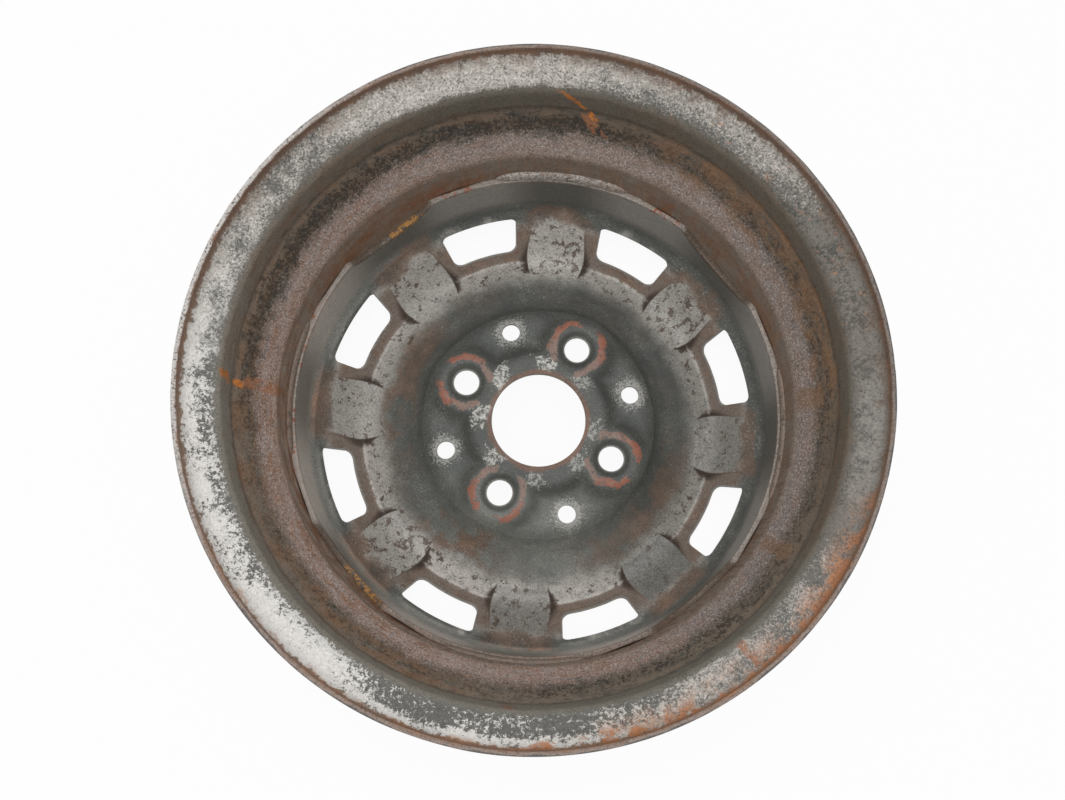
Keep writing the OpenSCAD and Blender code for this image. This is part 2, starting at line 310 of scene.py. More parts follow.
# disc, one pressed sheet
discShape = settings(
    thick=3.5, hubSlope=42.0, ringSlope=24.5, footR=80.0, footZ=-21.1, footBend=18.0,
    valley=8.5, valleyBend=10.0, skirtR=143.0, skirtTop=33.0, skirtBend=12.0,
    scallopR=40.0, scallopDepth=15.0, scallopSoft=1.5, flatDepth=0.8, flatTurn=26.0, flatLow=14.0,
    spokeW=31.0, spokeSpread=5.5, spokeDraft=28.0, spokeTilt=22.0, spokeRise=9.0, spokeBend=20.0,
    wallIn=5.6, wallZ=-12.4, spokeSlope=40.5, ventSlope=46.3, cornerBend=3.5,
    tabR=97.0, tabGain=2.5, tabSoft=(-0.5, 1.5),
    ventOut=50.0, ventIn=40.0, ventH=24.6, ventROut=3.8, ventRIn=6.0, ventEdge=0.96,
    boreR=28.55, recessR=13.0, recessDepth=2.2, recessReach=6.0, recessSoft=0.5,
    boltRing=50.0, boltR=7.75, boltTurn=-22.5, boltSides=48, boltReach=(-20.0, 10.0),
    pinRing=59.2, pinR=5.5, pinTurn=22.5, pinSides=40, pinReach=(-25.0, 10.0), ventReach=(-12.0, 10.0),
    bossH=4.0, bossLowR=13.5, bossTopR=16.0, bossReach=1.5, bossSoft=0.8, throat=1.8, seatAngle=30.0,
    landR=41.0, landDraft=35.0, landRoll=3.0, footSoft=9.0,
    padR=18.0, padDraft=36.0, padDrop=0.3, padRoll=3.5, padJoin=2.5,
    edgeSoft=0.9, cornerSoft=1.3, softMost=0.7, footDirt=3.2, sharp=46.0,
    # columns: degrees to the top and the foot of a spoke side where there is none, and parts between them
    sideTop=7.6, sideFoot=9.8, edgeWide=0.9, columnParts=(6, 4, 5, 4, 10),
    # rows: radii where their number changes, and how many in each run
    hubMarks=(66, 86, 106, 117), hubCounts=(29, 15, 18, 18, 17),
    backMarks=(72, 104, 120), backCounts=(26, 18, 16, 9),
    # rounded edge of the skirt: mm from its inner or outer side, and mm below its top
    skirtRows=10, skirtLast=0.6, edgeIn=((0.25, 0.12), (0.9, 0.0)),
    edgeOut=((0.7, 0.0), (0.15, 0.2), (0.0, 0.8)),
    spokeStep=3.0, pocketStep=6.0, ventStep=12.0, wave=0.18, waveSize=55.0, waveSeed=11, maskFar=60.0,
)


class pressedSheet:
    # heights of the pressed disc over radius and angle, for the hub face or, with an inset, the outboard face
    def __init__(self, s):
        self.s = s
        self.skirtIn = s.skirtR - s.thick
        self.wallR = self.skirtIn - s.wallIn
        ring, spoke, vent = -tanDeg(s.ringSlope), tanDeg(s.spokeSlope), tanDeg(s.ventSlope)
        tab = -tanDeg(s.ringSlope + s.tabGain)
        tabZ = s.footZ + ring * (s.tabR - s.footR)
        valleyR = s.footR + (s.valley + s.footZ) / tanDeg(s.hubSlope)
        bendZ = s.wallZ + spoke * (self.skirtIn - self.wallR)
        self.kneeR = (s.wallZ - s.footZ + ring * s.footR - spoke * self.wallR) / (ring - spoke)
        self.kneeZ = s.footZ + ring * (self.kneeR - s.footR)
        self.cornerR = (s.wallZ - tabZ + tab * s.tabR - vent * self.wallR) / (tab - vent)
        cornerZ = s.wallZ + vent * (self.cornerR - self.wallR)
        self.skirtAway, far = 400, 30  # lengths that run past what is used of a line
        self.spokeCorners = [
            (0, -s.valley, 0), (valleyR, -s.valley, s.valleyBend), (s.footR, s.footZ, s.footBend),
            (self.kneeR, self.kneeZ, s.spokeBend), (self.skirtIn, bendZ, s.skirtBend),
            (self.skirtIn, self.skirtAway, 0),
        ]
        self.pocketCorners = [
            (self.cornerR - far, cornerZ - tab * far, 0), (self.cornerR, cornerZ, s.cornerBend),
            (self.cornerR + far, cornerZ + vent * far, 0),
        ]
        turn = spin(s.spokeSpread, "Z", 3) @ spin(-s.spokeTilt, "Y", 3) @ spin(s.spokeDraft, "X", 3)
        self.sideNormal = turn @ Vector((0, 1, 0))

    def line(self, corners, inset, step):
        return bentLine(besideLine(corners, inset) if inset else corners, step)

    def skirtPart(self, inset):
        # points of the bend up to the skirt, from where the spoke wall starts to turn
        s = self.s
        line = self.line(self.spokeCorners, inset, s.spokeStep)
        run = (s.skirtBend + inset) * tanDeg((90 - s.spokeSlope) / 2)
        start = (self.skirtIn + inset) - run * math.cos(math.radians(s.spokeSlope))
        return line[(line[:, 0] > start - 1e-3) & (line[:, 1] < self.skirtAway / 2)]

    def fold(self, t):
        return np.abs(offFrom(t, 0, spokePitch))

    def fromHole(self, name, r, t):
        # mm outwards and sideways from the nearest bolt or pin hole
        off = np.radians(offFrom(t, self.s[name + "Turn"], quarter))
        return r * np.cos(off) - self.s[name + "Ring"], r * np.sin(off)

    def sides(self, r, phi, inset):
        # heights of the spoke, of the pocket beside it and of the spoke's side plane
        s = self.s
        line = self.line(self.spokeCorners, inset, s.spokeStep)
        pocket = self.line(self.pocketCorners, inset, s.pocketStep)
        spoke = np.interp(r, line[:, 0], line[:, 1])
        drop = np.clip(spoke - np.interp(r, pocket[:, 0], pocket[:, 1]), 0, None)
        low, high = s.tabSoft
        drop = drop * ease(s.tabR + low, s.tabR + high, r)
        drop = drop * (r < self.wallR + inset * math.sin(math.radians(s.ventSlope)))
        n = self.sideNormal
        across = n.x * (r * np.cos(phi) - self.kneeR) + n.y * (r * np.sin(phi) - s.spokeW / 2)
        return spoke, spoke - drop, self.kneeZ + s.spokeRise - (inset + across) / n.z

    def spokeShare(self, r, t, inset):
        # 1 on a spoke, 0 in the pocket beside it, with the step between them
        s = self.s
        spoke, deep, plane = self.sides(r, np.radians(self.fold(t)), inset)
        step = np.maximum(spoke - deep, 1e-3)
        q = (plane - deep) / step
        share = softMax(q, 0 * q, np.minimum(s.softMost, s.cornerSoft / step))
        share = softMin(share, 0 * q + 1, np.minimum(s.softMost, s.edgeSoft / step))
        return spoke, deep, np.clip(share, 0, 1)

    def columns(self, r, inset):
        # angles round the wheel for one row, crowded at the top and the foot of the spoke sides
        s = self.s
        phi = np.linspace(0, halfPitch, 226)
        spoke, deep, plane = self.sides(r, np.radians(phi), inset)
        top, foot = np.interp([-spoke, -deep], -plane, phi)
        there = ease(0.3, 3.0, spoke - deep)
        top = s.sideTop + (top - s.sideTop) * there
        foot = s.sideFoot + (foot - s.sideFoot) * there
        turn = min(math.degrees(s.edgeWide / r), (foot - top) / 3)
        half = runs((0, top - turn, top + turn, foot - turn, foot + turn, halfPitch), s.columnParts)
        sector = np.concatenate([half, [halfPitch], spokePitch - half[:0:-1]])
        return np.radians(np.concatenate([sector + spokePitch * k for k in range(8)]))

    def height(self, r, t, inset):
        s = self.s
        d = np.hypot(*self.fromHole("bolt", r, t))

        def raised(gap, name):
            # a flat top whose sides fall with their own draft
            draft = s[name + "Draft"]
            lift = inset * (tanDeg(draft) - 1 / math.cos(math.radians(draft)))
            return rolled(gap - s[name + "R"] - lift, s[name + "Roll"]) / tanDeg(draft)

        spoke, deep, share = self.spokeShare(r, t, inset)
        land = -inset - raised(r, "land")
        pad = -s.padDrop - inset - raised(d, "pad")
        z = softMax(deep + (spoke - deep) * share, softMax(land, pad, s.padJoin), s.footSoft)
        if not inset:
            recess = -s.padDrop - s.recessDepth * (s.recessR - d) / (s.recessR - s.boltR)
            return softMin(z, np.where(d < s.recessR + s.recessReach, recess, away), s.recessSoft)
        rise = np.clip((d - s.bossLowR) / (s.bossTopR - s.bossLowR), 0, 1.6)
        boss = -s.padDrop - s.thick - s.bossH + rise * (s.bossH + s.thick / 2)
        z = softMin(z, np.where(d < s.bossTopR + s.bossReach, boss, away), s.bossSoft)
        seat = -s.padDrop - s.recessDepth - s.throat - (d - s.boltR) / tanDeg(s.seatAngle)
        return np.maximum(z, np.where(d < s.bossLowR, seat, -away))

    def skirtEdge(self, t):
        # height of the skirt's edge, scalloped between the lobes
        s = self.s
        y = s.skirtR * np.sin(np.radians(offFrom(t, quarter / 2, quarter)))
        arc = s.scallopR - np.sqrt(np.clip(s.scallopR ** 2 - y * y, 0, None))
        dip = s.skirtTop - s.scallopDepth + arc
        return softMin(dip, 0 * dip + s.skirtTop, s.scallopSoft)


def ventPrisms(s, sheet):
    # cutters square to the sloping wall
    lean = math.cos(math.radians(s.ventSlope))
    halfH, halfOut, halfIn = s.ventH / 2, s.ventOut / 2, s.ventIn / 2
    midR = sheet.wallR - s.ventEdge - halfH * lean
    midZ = s.wallZ + tanDeg(s.ventSlope) * (midR - sheet.wallR)
    arcR = midR / lean

    def onArc(r, y, bend=0):
        return math.sqrt(r * r - y * y) - arcR, y, bend

    def arc(r, half):
        return [onArc(r, y) for y in np.linspace(-half, half, 9)]

    rOut, rIn = arcR + halfH, arcR - halfH
    outer, inner = arc(rOut, halfOut - 2 * s.ventROut), arc(rIn, halfIn - 2 * s.ventRIn)[::-1]
    corners = [onArc(rOut, halfOut, s.ventROut), onArc(rIn, halfIn, s.ventRIn)]
    mirrored = [onArc(rIn, -halfIn, s.ventRIn), onArc(rOut, -halfOut, s.ventROut)]
    outline = bentLine(outer + corners + inner + mirrored + outer[:1], s.ventStep)[:-1]
    stand = Matrix.Translation((midR, 0, midZ)) @ spin(-s.ventSlope, "Y")
    return [prism(outline, *s.ventReach, spin(halfPitch + spokePitch * k) @ stand) for k in range(8)]


def buildDisc(s):
    sheet = pressedSheet(s)
    turn = sheet.columns(s.boreR, 0)
    same = 0 * turn
    rows, angles = [], []

    def addPressed(radii, inset):
        for r in radii:
            angles.append(sheet.columns(r, inset))
            rows.append((same + r, sheet.height(same + r, angles[-1], inset)))

    def addPlain(r, z):
        angles.append(turn)
        rows.append((same + r, same + z))

    # rows from the bore out over the hub side, over the skirt's edge and back on the outboard side
    bendIn, bendOut = sheet.skirtPart(0), sheet.skirtPart(s.thick)
    bendR, lowIn, lowOut = bendIn[0, 0], bendIn[-1, 1], bendOut[-1, 1]
    edge = sheet.skirtEdge(turn)
    flatOff = np.radians(np.min([np.abs(offFrom(turn, k * s.flatTurn, quarter)) for k in (-1, 1)], axis=0))
    flatR = np.minimum(s.skirtR, (s.skirtR - s.flatDepth) / np.cos(flatOff))
    addPressed(runs((s.boreR, *s.hubMarks, bendR), s.hubCounts), 0)
    for r, z in bendIn[::2]:
        addPlain(r, z)
    for f in np.linspace(0, 1, s.skirtRows)[1:]:
        addPlain(sheet.skirtIn, lowIn + (edge - s.skirtLast - lowIn) * f)
    for inward, drop in s.edgeIn:
        addPlain(sheet.skirtIn + inward, edge - drop)
    for inward, drop in s.edgeOut:
        addPlain(flatR - inward, edge - drop)
    step = s.skirtTop - s.flatLow
    addPlain(flatR, np.minimum(edge - 1, step + 0.1))
    flatEnd = np.minimum(edge - 1.2, step)
    for f in (0.0, 0.4, 1.0):
        addPlain(s.skirtR, flatEnd * (1 - f) + lowOut * f)
    for r, z in bendOut[::-3]:
        addPlain(r, z)
    addPressed(runs((s.boreR, *s.backMarks, bendOut[0, 0]), s.backCounts)[::-1], s.thick)
    r, z = (np.array([row[k] for row in rows]) for k in (0, 1))
    t = np.array(angles)
    x, y = r * np.cos(t), r * np.sin(t)
    wave = s.wave * waves(x, y, 0 * z, s.waveSize, s.waveSeed)
    obj = ringMesh("disc", x, y, z + wave * ease(30, 60, r) * ease(139, 130, r))

    prisms = []
    for k in range(4):
        for name in ("bolt", "pin"):
            place = spin(s[name + "Turn"] + quarter * k) @ Matrix.Translation((s[name + "Ring"], 0, 0))
            prisms.append(prism(circle(s[name + "R"], s[name + "Sides"]), *s[name + "Reach"], place))
    cutHoles(obj, prisms + ventPrisms(s, sheet))
    smoothShade(obj, s.sharp)

    # masks for the finish, from each point's place on the pressing
    p = points(obj)
    r, t, z = np.hypot(p[:, 0], p[:, 1]), np.arctan2(p[:, 1], p[:, 0]), p[:, 2]
    edge = sheet.skirtEdge(t)
    midZ = (sheet.height(r, t, 0) + sheet.height(r, t, s.thick)) / 2
    onSkirt = (r > sheet.skirtIn + 1.6) & (z < edge - 0.6)
    onBend = np.hypot(r - sheet.skirtIn + s.skirtBend, z - lowIn) > s.skirtBend + 1.7
    outboard = np.where(r < bendR, z < midZ, np.where(z < lowIn, onBend, onSkirt))
    spoke, deep, share = sheet.spokeShare(r, t, 0)
    stepped = ease(0.3, 1.5, spoke - deep)
    above = sheet.sides(r, np.radians(sheet.fold(t)), 0)[2] - deep
    # the spoke-side mask reaches below the side plane into the pocket, for its rust and painted shade
    foot = -s.footDirt * ease(0.5, 4.0, spoke - deep)
    boltOut, boltAcross = sheet.fromHole("bolt", r, t)

    def near(gap):
        return np.clip(gap, 0, s.maskFar)

    masks = {
        "outboard": outboard.astype(float),
        "spokeTop": ease(0.9, 0.99, share) * stepped,
        "spokeSide": ease(foot - 0.6, foot + 0.6, above) * ease(0.99, 0.93, share) * stepped,
        "ventWall": ease(0.2, 0.05, share) * stepped,
        "boltGap": near(np.hypot(boltOut, boltAcross) - s.boltR),
        "pinGap": near(np.hypot(*sheet.fromHole("pin", r, t)) - s.pinR),
        "boltSide": np.abs(np.degrees(np.arctan2(boltAcross, boltOut))),  # degrees from the outward side
        "ventSide": sheet.fold(t) / halfPitch,
        "edgeGap": near(edge - z),
        "lobe": ease(s.skirtTop - 3, s.skirtTop - 0.5, edge),
        "boltTurn": np.abs(offFrom(t, s.boltTurn, quarter)),
    }
    for name, values in masks.items():
        setMask(obj, name, values)
    return obj


disc = buildDisc(discShape)
print("disc", len(disc.data.polygons), "faces")


# weld beads between the disc lobes and the rim
beadShape = settings(
    wallR=143.0, low=33.0, foot=3.0, high=6.0, half=16.0, columns=150, section=11, sharp=60.0,
    taperFrom=0.7, taperLeast=0.02, swell=(0.75, 1.0, 0.75, 0.75), bulge=0.75,
    ripple=2.2, rippleDepth=0.0875, sway=0.7, swaySize=0.9,
    lump=0.06, lumpSizes=(0.55, 0.23), lumpShifts=(2.0, 1.7),
)


def beadSize(s, k, share):
    # how full bead k is at a share of its length, as a part that is everywhere and a part for its middle
    past = max(0, abs(share) - s.taperFrom) / (1 - s.taperFrom)
    full = s.swell[k] * math.sqrt(max(s.taperLeast, 1 - past ** 2))
    length = math.radians(share * s.half) * s.wallR
    sway = s.sway * math.sin(length * s.swaySize + k)
    ripple = abs(math.sin(math.pi * length / s.ripple + sway))
    lump = math.prod(math.sin(length * size + shift * k) for size, shift in zip(s.lumpSizes, s.lumpShifts))
    return full, s.lump * lump - full * s.rippleDepth * (1 - ripple)


def buildBeads(s):
    verts, faces = [], []
    columns, n = s.columns, s.section
    m = n + 1
    for k in range(4):
        base = len(verts)
        for c in range(columns + 1):
            share = 2 * c / columns - 1
            turn = math.radians(quarter * k + share * s.half)
            full, middle = beadSize(s, k, share)
            section = []
            for i in range(n):
                a = math.pi / 2 * i / (n - 1)
                swell = full + middle * math.sin(2 * a)
                inward = s.foot * swell * math.sin(a) ** s.bulge
                section.append((s.wallR - inward, s.low + s.high * swell * max(0.0, math.cos(a)) ** s.bulge))
            section.append((s.wallR, s.low))
            verts += [(r * math.cos(turn) * mm, r * math.sin(turn) * mm, z * mm) for r, z in section]
        for c in range(columns):
            for i in range(m):
                a, b = base + c * m + i, base + c * m + (i + 1) % m
                faces.append((a, a + m, b + m, b))
        faces.append(tuple(base + i for i in range(m)))
        faces.append(tuple(base + columns * m + i for i in range(m - 1, -1, -1)))
    obj = addMesh("weldBeads", verts, faces)
    smoothShade(obj, s.sharp)
    return obj


beads = buildBeads(beadShape)
print("weld beads", len(beads.data.polygons), "faces")


# short ways to lay shader nodes
def tone(r, g, b):
    # a colour read as 0 to 255, as the shader wants it
    shares = [c / 255 for c in (r, g, b)]
    return (*[c / 12.92 if c <= 0.04045 else ((c + 0.055) / 1.055) ** 2.4 for c in shares], 1.0)


def tones(colours):
    return settings({name: tone(*colour) for name, colour in colours.items()})


class nodeKit:
    # lays nodes in one tree and links what it is given
    def __init__(self, tree):
        self.tree = tree

    def add(self, kind):
        return self.tree.nodes.new(kind)

    def plug(self, socket, value):
        if isinstance(value, bpy.types.NodeSocket):
            self.tree.links.new(value, socket)
        else:
            socket.default_value = value

    def plugAll(self, node, values):
        for socket, value in zip(node.inputs, values):
            self.plug(socket, value)
        return node.outputs[0]

    def maths(self, operation, *values):
        node = self.add("ShaderNodeMath")
        node.operation = operation
        return self.plugAll(node, values)

    def chain(self, operation, parts):
        return functools.reduce(lambda a, b: self.maths(operation, a, b), parts)

    def plus(self, *parts):
        return self.chain("ADD", parts)

    def minus(self, a, b):
        return self.maths("SUBTRACT", a, b)

    def times(self, *parts):
        return self.chain("MULTIPLY", parts)

    def most(self, *parts):
        return self.chain("MAXIMUM", parts)

    def span(self, value, low, high, toLow=0.0, toHigh=1.0):
        # eased step from one value to another
        node = self.add("ShaderNodeMapRange")
        node.interpolation_type = "SMOOTHSTEP"
        return self.plugAll(node, (value, low, high, toLow, toHigh))

    def fade(self, value, low, high, most=1.0):
        return self.span(value, low, high, most, 0.0)

    def band(self, value, low, high, soft):
        rise = self.span(value, low - soft, low + soft)
        return self.times(rise, self.fade(value, high - soft, high + soft))

    def blend(self, share, a, b, kind="MIX"):
        node = self.add("ShaderNodeMix")
        node.data_type, node.blend_type = "RGBA", kind
        for k, value in ((0, share), (6, a), (7, b)):
            self.plug(node.inputs[k], value)
        return node.outputs[2]

    def mixValue(self, share, a, b):
        node = self.add("ShaderNodeMix")
        for k, value in ((0, share), (2, a), (3, b)):
            self.plug(node.inputs[k], value)
        return node.outputs[0]

    def cloud(self, place, scale, detail, rough, twist=0.0):
        node = self.add("ShaderNodeTexNoise")
        names = ("Vector", "Scale", "Detail", "Roughness", "Distortion")
        for name, value in zip(names, (place, scale, detail, rough, twist)):
            self.plug(node.inputs[name], value)
        return node.outputs["Fac"]

    def mask(self, name):
        node = self.add("ShaderNodeAttribute")
        node.attribute_name = name
        return node.outputs["Fac"]

    def ladder(self, value, stops, curve="EASE"):
        # colour ramp from (place, colour) stops
        node = self.add("ShaderNodeValToRGB")
        ramp = node.color_ramp
        ramp.interpolation = curve
        while len(ramp.elements) < len(stops):
            ramp.elements.new(0.5)
        for element, (place, _) in zip(ramp.elements, stops):
            element.position = place
        for element, (_, colour) in zip(ramp.elements, stops):
            element.color = colour
        self.plug(node.inputs[0], value)
        return node.outputs[0]

    def use(self, group, **values):
        node = self.add("ShaderNodeGroup")
        node.node_tree = group
        for name, value in values.items():
            self.plug(node.inputs[name], value)
        return node.outputs

    def place(self):
        return self.add("ShaderNodeTexCoord").outputs["Object"]


def newGroup(name, ins, outs):
    # inputs are numbers with a first value, outputs are Float or Color
    tree = bpy.data.node_groups.new(name, "ShaderNodeTree")
    for label, value in ins.items():
        socket = tree.interface.new_socket(label, in_out="INPUT", socket_type="NodeSocketFloat")
        socket.default_value = value
    for label, kind in outs.items():
        tree.interface.new_socket(label, in_out="OUTPUT", socket_type="NodeSocket" + kind)
    kit = nodeKit(tree)
    return kit, kit.add("NodeGroupInput").outputs, kit.add("NodeGroupOutput").inputs


# shared effects, each a shader group
def makeWheelPlace():
    # radius and height in mm and angle in degrees about the wheel axis
    kit, _, out = newGroup("wheelPlace", {}, {"Radius": "Float", "Angle": "Float", "Height": "Float"})
    parts = kit.add("ShaderNodeSeparateXYZ")
    kit.plug(parts.inputs[0], kit.place())
    x, y, z = parts.outputs
    radius = kit.maths("SQRT", kit.plus(kit.times(x, x), kit.times(y, y)))
    kit.plug(out["Radius"], kit.times(radius, 1 / mm))
    kit.plug(out["Angle"], kit.times(kit.maths("ARCTAN2", y, x), 180 / math.pi))
    kit.plug(out["Height"], kit.times(z, 1 / mm))
    return kit.tree


def makeArcPatch():
    # 1 within half an arc of an angle, fading over the softness
    ins = {"Angle": 0.0, "Centre": 0.0, "Half": 20.0, "Soft": 8.0}
    kit, given, out = newGroup("arcPatch", ins, {"Mask": "Float"})
    off = kit.minus(given["Angle"], given["Centre"])
    gap = kit.maths("ABSOLUTE", kit.maths("WRAP", off, 180.0, -180.0))
    low, high = kit.minus(given["Half"], given["Soft"]), kit.plus(given["Half"], given["Soft"])
    kit.plug(out["Mask"], kit.fade(gap, low, high))
    return kit.tree


def makeGrain():
    # fine salt and pepper of old rusty steel, and a coarser clump of it
    outs = {"Fine": "Float", "Clump": "Float", "Shade": "Color"}
    kit, given, out = newGroup("grain", {"Size": 800.0, "Contrast": 1.0}, outs)
    place = kit.place()
    fine = kit.cloud(place, given["Size"], 2.0, 0.7)
    clump = kit.cloud(place, kit.times(given["Size"], 0.2), 6.0, 0.7)
    both = kit.plus(kit.times(fine, 0.68), kit.times(clump, 0.32))
    level = kit.plus(0.5, kit.times(kit.minus(both, 0.5), given["Contrast"]))
    shades = [(0.3, tone(118, 114, 110)), (0.5, tone(214, 213, 211)), (0.7, tone(255, 254, 252))]
    kit.plug(out["Fine"], fine)
    kit.plug(out["Clump"], clump)
    kit.plug(out["Shade"], kit.ladder(level, shades))
    return kit.tree


def makeRustMottle():
    # brown rust in patches, with orange in its loose parts
    outs = {"Color": "Color", "Mottle": "Float"}
    kit, given, out = newGroup("rustMottle", {"Patch": 60.0, "Orange": 0.3}, outs)
    place = kit.place()
    broad = kit.cloud(place, given["Patch"], 7.0, 0.66)
    fine = kit.cloud(place, kit.times(given["Patch"], 13.0), 3.0, 0.7)
    browns = [(0.34, tone(98, 84, 75)), (0.5, tone(128, 107, 92)), (0.66, tone(150, 121, 101))]
    colour = kit.blend(kit.span(fine, 0.5, 0.66, 0.0, 0.5), kit.ladder(broad, browns), tone(96, 83, 74))
    rough = kit.cloud(place, kit.times(given["Patch"], 0.5), 8.0, 0.68)
    loose = kit.times(kit.span(rough, 0.5, 0.64), kit.span(fine, 0.36, 0.6), given["Orange"])
    kit.plug(out["Color"], kit.blend(loose, colour, tone(184, 118, 74)))
    kit.plug(out["Mottle"], broad)
    return kit.tree


def openEdge(kit, level, ragged):
    # mask of what lies over a level, its edge as wide as the raggedness
    return kit.span(level, kit.times(ragged, -0.5), kit.times(ragged, 0.5))


def makeFlakes():
    # ragged islands with specks round them, filling a share of the surface
    ins = {"Cover": 0.5, "Size": 120.0, "Speck": 900.0, "Ragged": 0.05}
    kit, given, out = newGroup("flakes", ins, {"Mask": "Float"})
    place = kit.place()
    broad = kit.cloud(place, given["Size"], 5.0, 0.66, 0.15)
    fine = kit.cloud(place, given["Speck"], 2.0, 0.65)
    value = kit.plus(kit.times(broad, 0.6), kit.times(fine, 0.4))
    gate = kit.minus(0.72, kit.times(given["Cover"], 0.44))
    kit.plug(out["Mask"], openEdge(kit, kit.minus(value, gate), given["Ragged"]))
    return kit.tree


def makeChips():
    # chipped paint: large and small islands mixed, filling a share of the surface
    ins = {"Cover": 0.5, "Size": 100.0, "Rough": 0.75, "Ragged": 0.04}
    kit, given, out = newGroup("chips", ins, {"Mask": "Float"})
    value = kit.cloud(kit.place(), given["Size"], 4.5, given["Rough"])
    level = kit.plus(kit.minus(value, 0.5), kit.times(kit.minus(given["Cover"], 0.5), 0.32))
    kit.plug(out["Mask"], openEdge(kit, level, given["Ragged"]))
    return kit.tree


def makeStreaks():
    # streaks that run along the axis, as water leaves them on a wall
    kit, given, out = newGroup("streaks", {"Size": 250.0}, {"Level": "Float"})
    squeeze = kit.add("ShaderNodeVectorMath")
    squeeze.operation = "MULTIPLY"
    place = kit.plugAll(squeeze, (kit.place(), (1.0, 1.0, 0.07)))
    kit.plug(out["Level"], kit.cloud(place, given["Size"], 5.0, 0.66))
    return kit.tree


def makeRingStains():
    # stains drawn out round the wheel, as if it had a small radius
    drawnR = 0.035
    kit, given, out = newGroup("ringStains", {"Along": 0.0, "Size": 250.0}, {"Level": "Float"})
    turn = kit.maths("RADIANS", kit.use(wheelPlace)["Angle"])
    join = kit.add("ShaderNodeCombineXYZ")
    x, y = (kit.times(kit.maths(operation, turn), drawnR) for operation in ("COSINE", "SINE"))
    place = kit.plugAll(join, (x, y, kit.times(given["Along"], mm)))
    kit.plug(out["Level"], kit.cloud(place, given["Size"], 6.0, 0.7))
    return kit.tree


wheelPlace, arcPatch, grain = makeWheelPlace(), makeArcPatch(), makeGrain()
rustMottle, flakes, chips = makeRustMottle(), makeFlakes(), makeChips()
streaks, ringStains = makeStreaks(), makeRingStains()


def newFinish(name):
    material = bpy.data.materials.new(name)
    material.use_nodes = True
    tree = material.node_tree
    return material, nodeKit(tree), tree.nodes["Principled BSDF"]


def arcTools(kit, angle):
    # the mask of one arc, and the strongest of several over an amount that is everywhere
    def patch(centre, half, soft, amount=1.0):
        return kit.times(kit.use(arcPatch, Angle=angle, Centre=centre, Half=half, Soft=soft)["Mask"], amount)

    def strongest(least, *arcs):
        return kit.most(*[patch(*arc) for arc in arcs], least)

    return patch, strongest


def bumpFrom(kit, shader, height, depth, strength):
    node = kit.add("ShaderNodeBump")
    node.inputs["Distance"].default_value = depth
    node.inputs["Strength"].default_value = strength
    kit.plug(node.inputs["Height"], height)
    kit.plug(shader.inputs["Normal"], node.outputs[0])


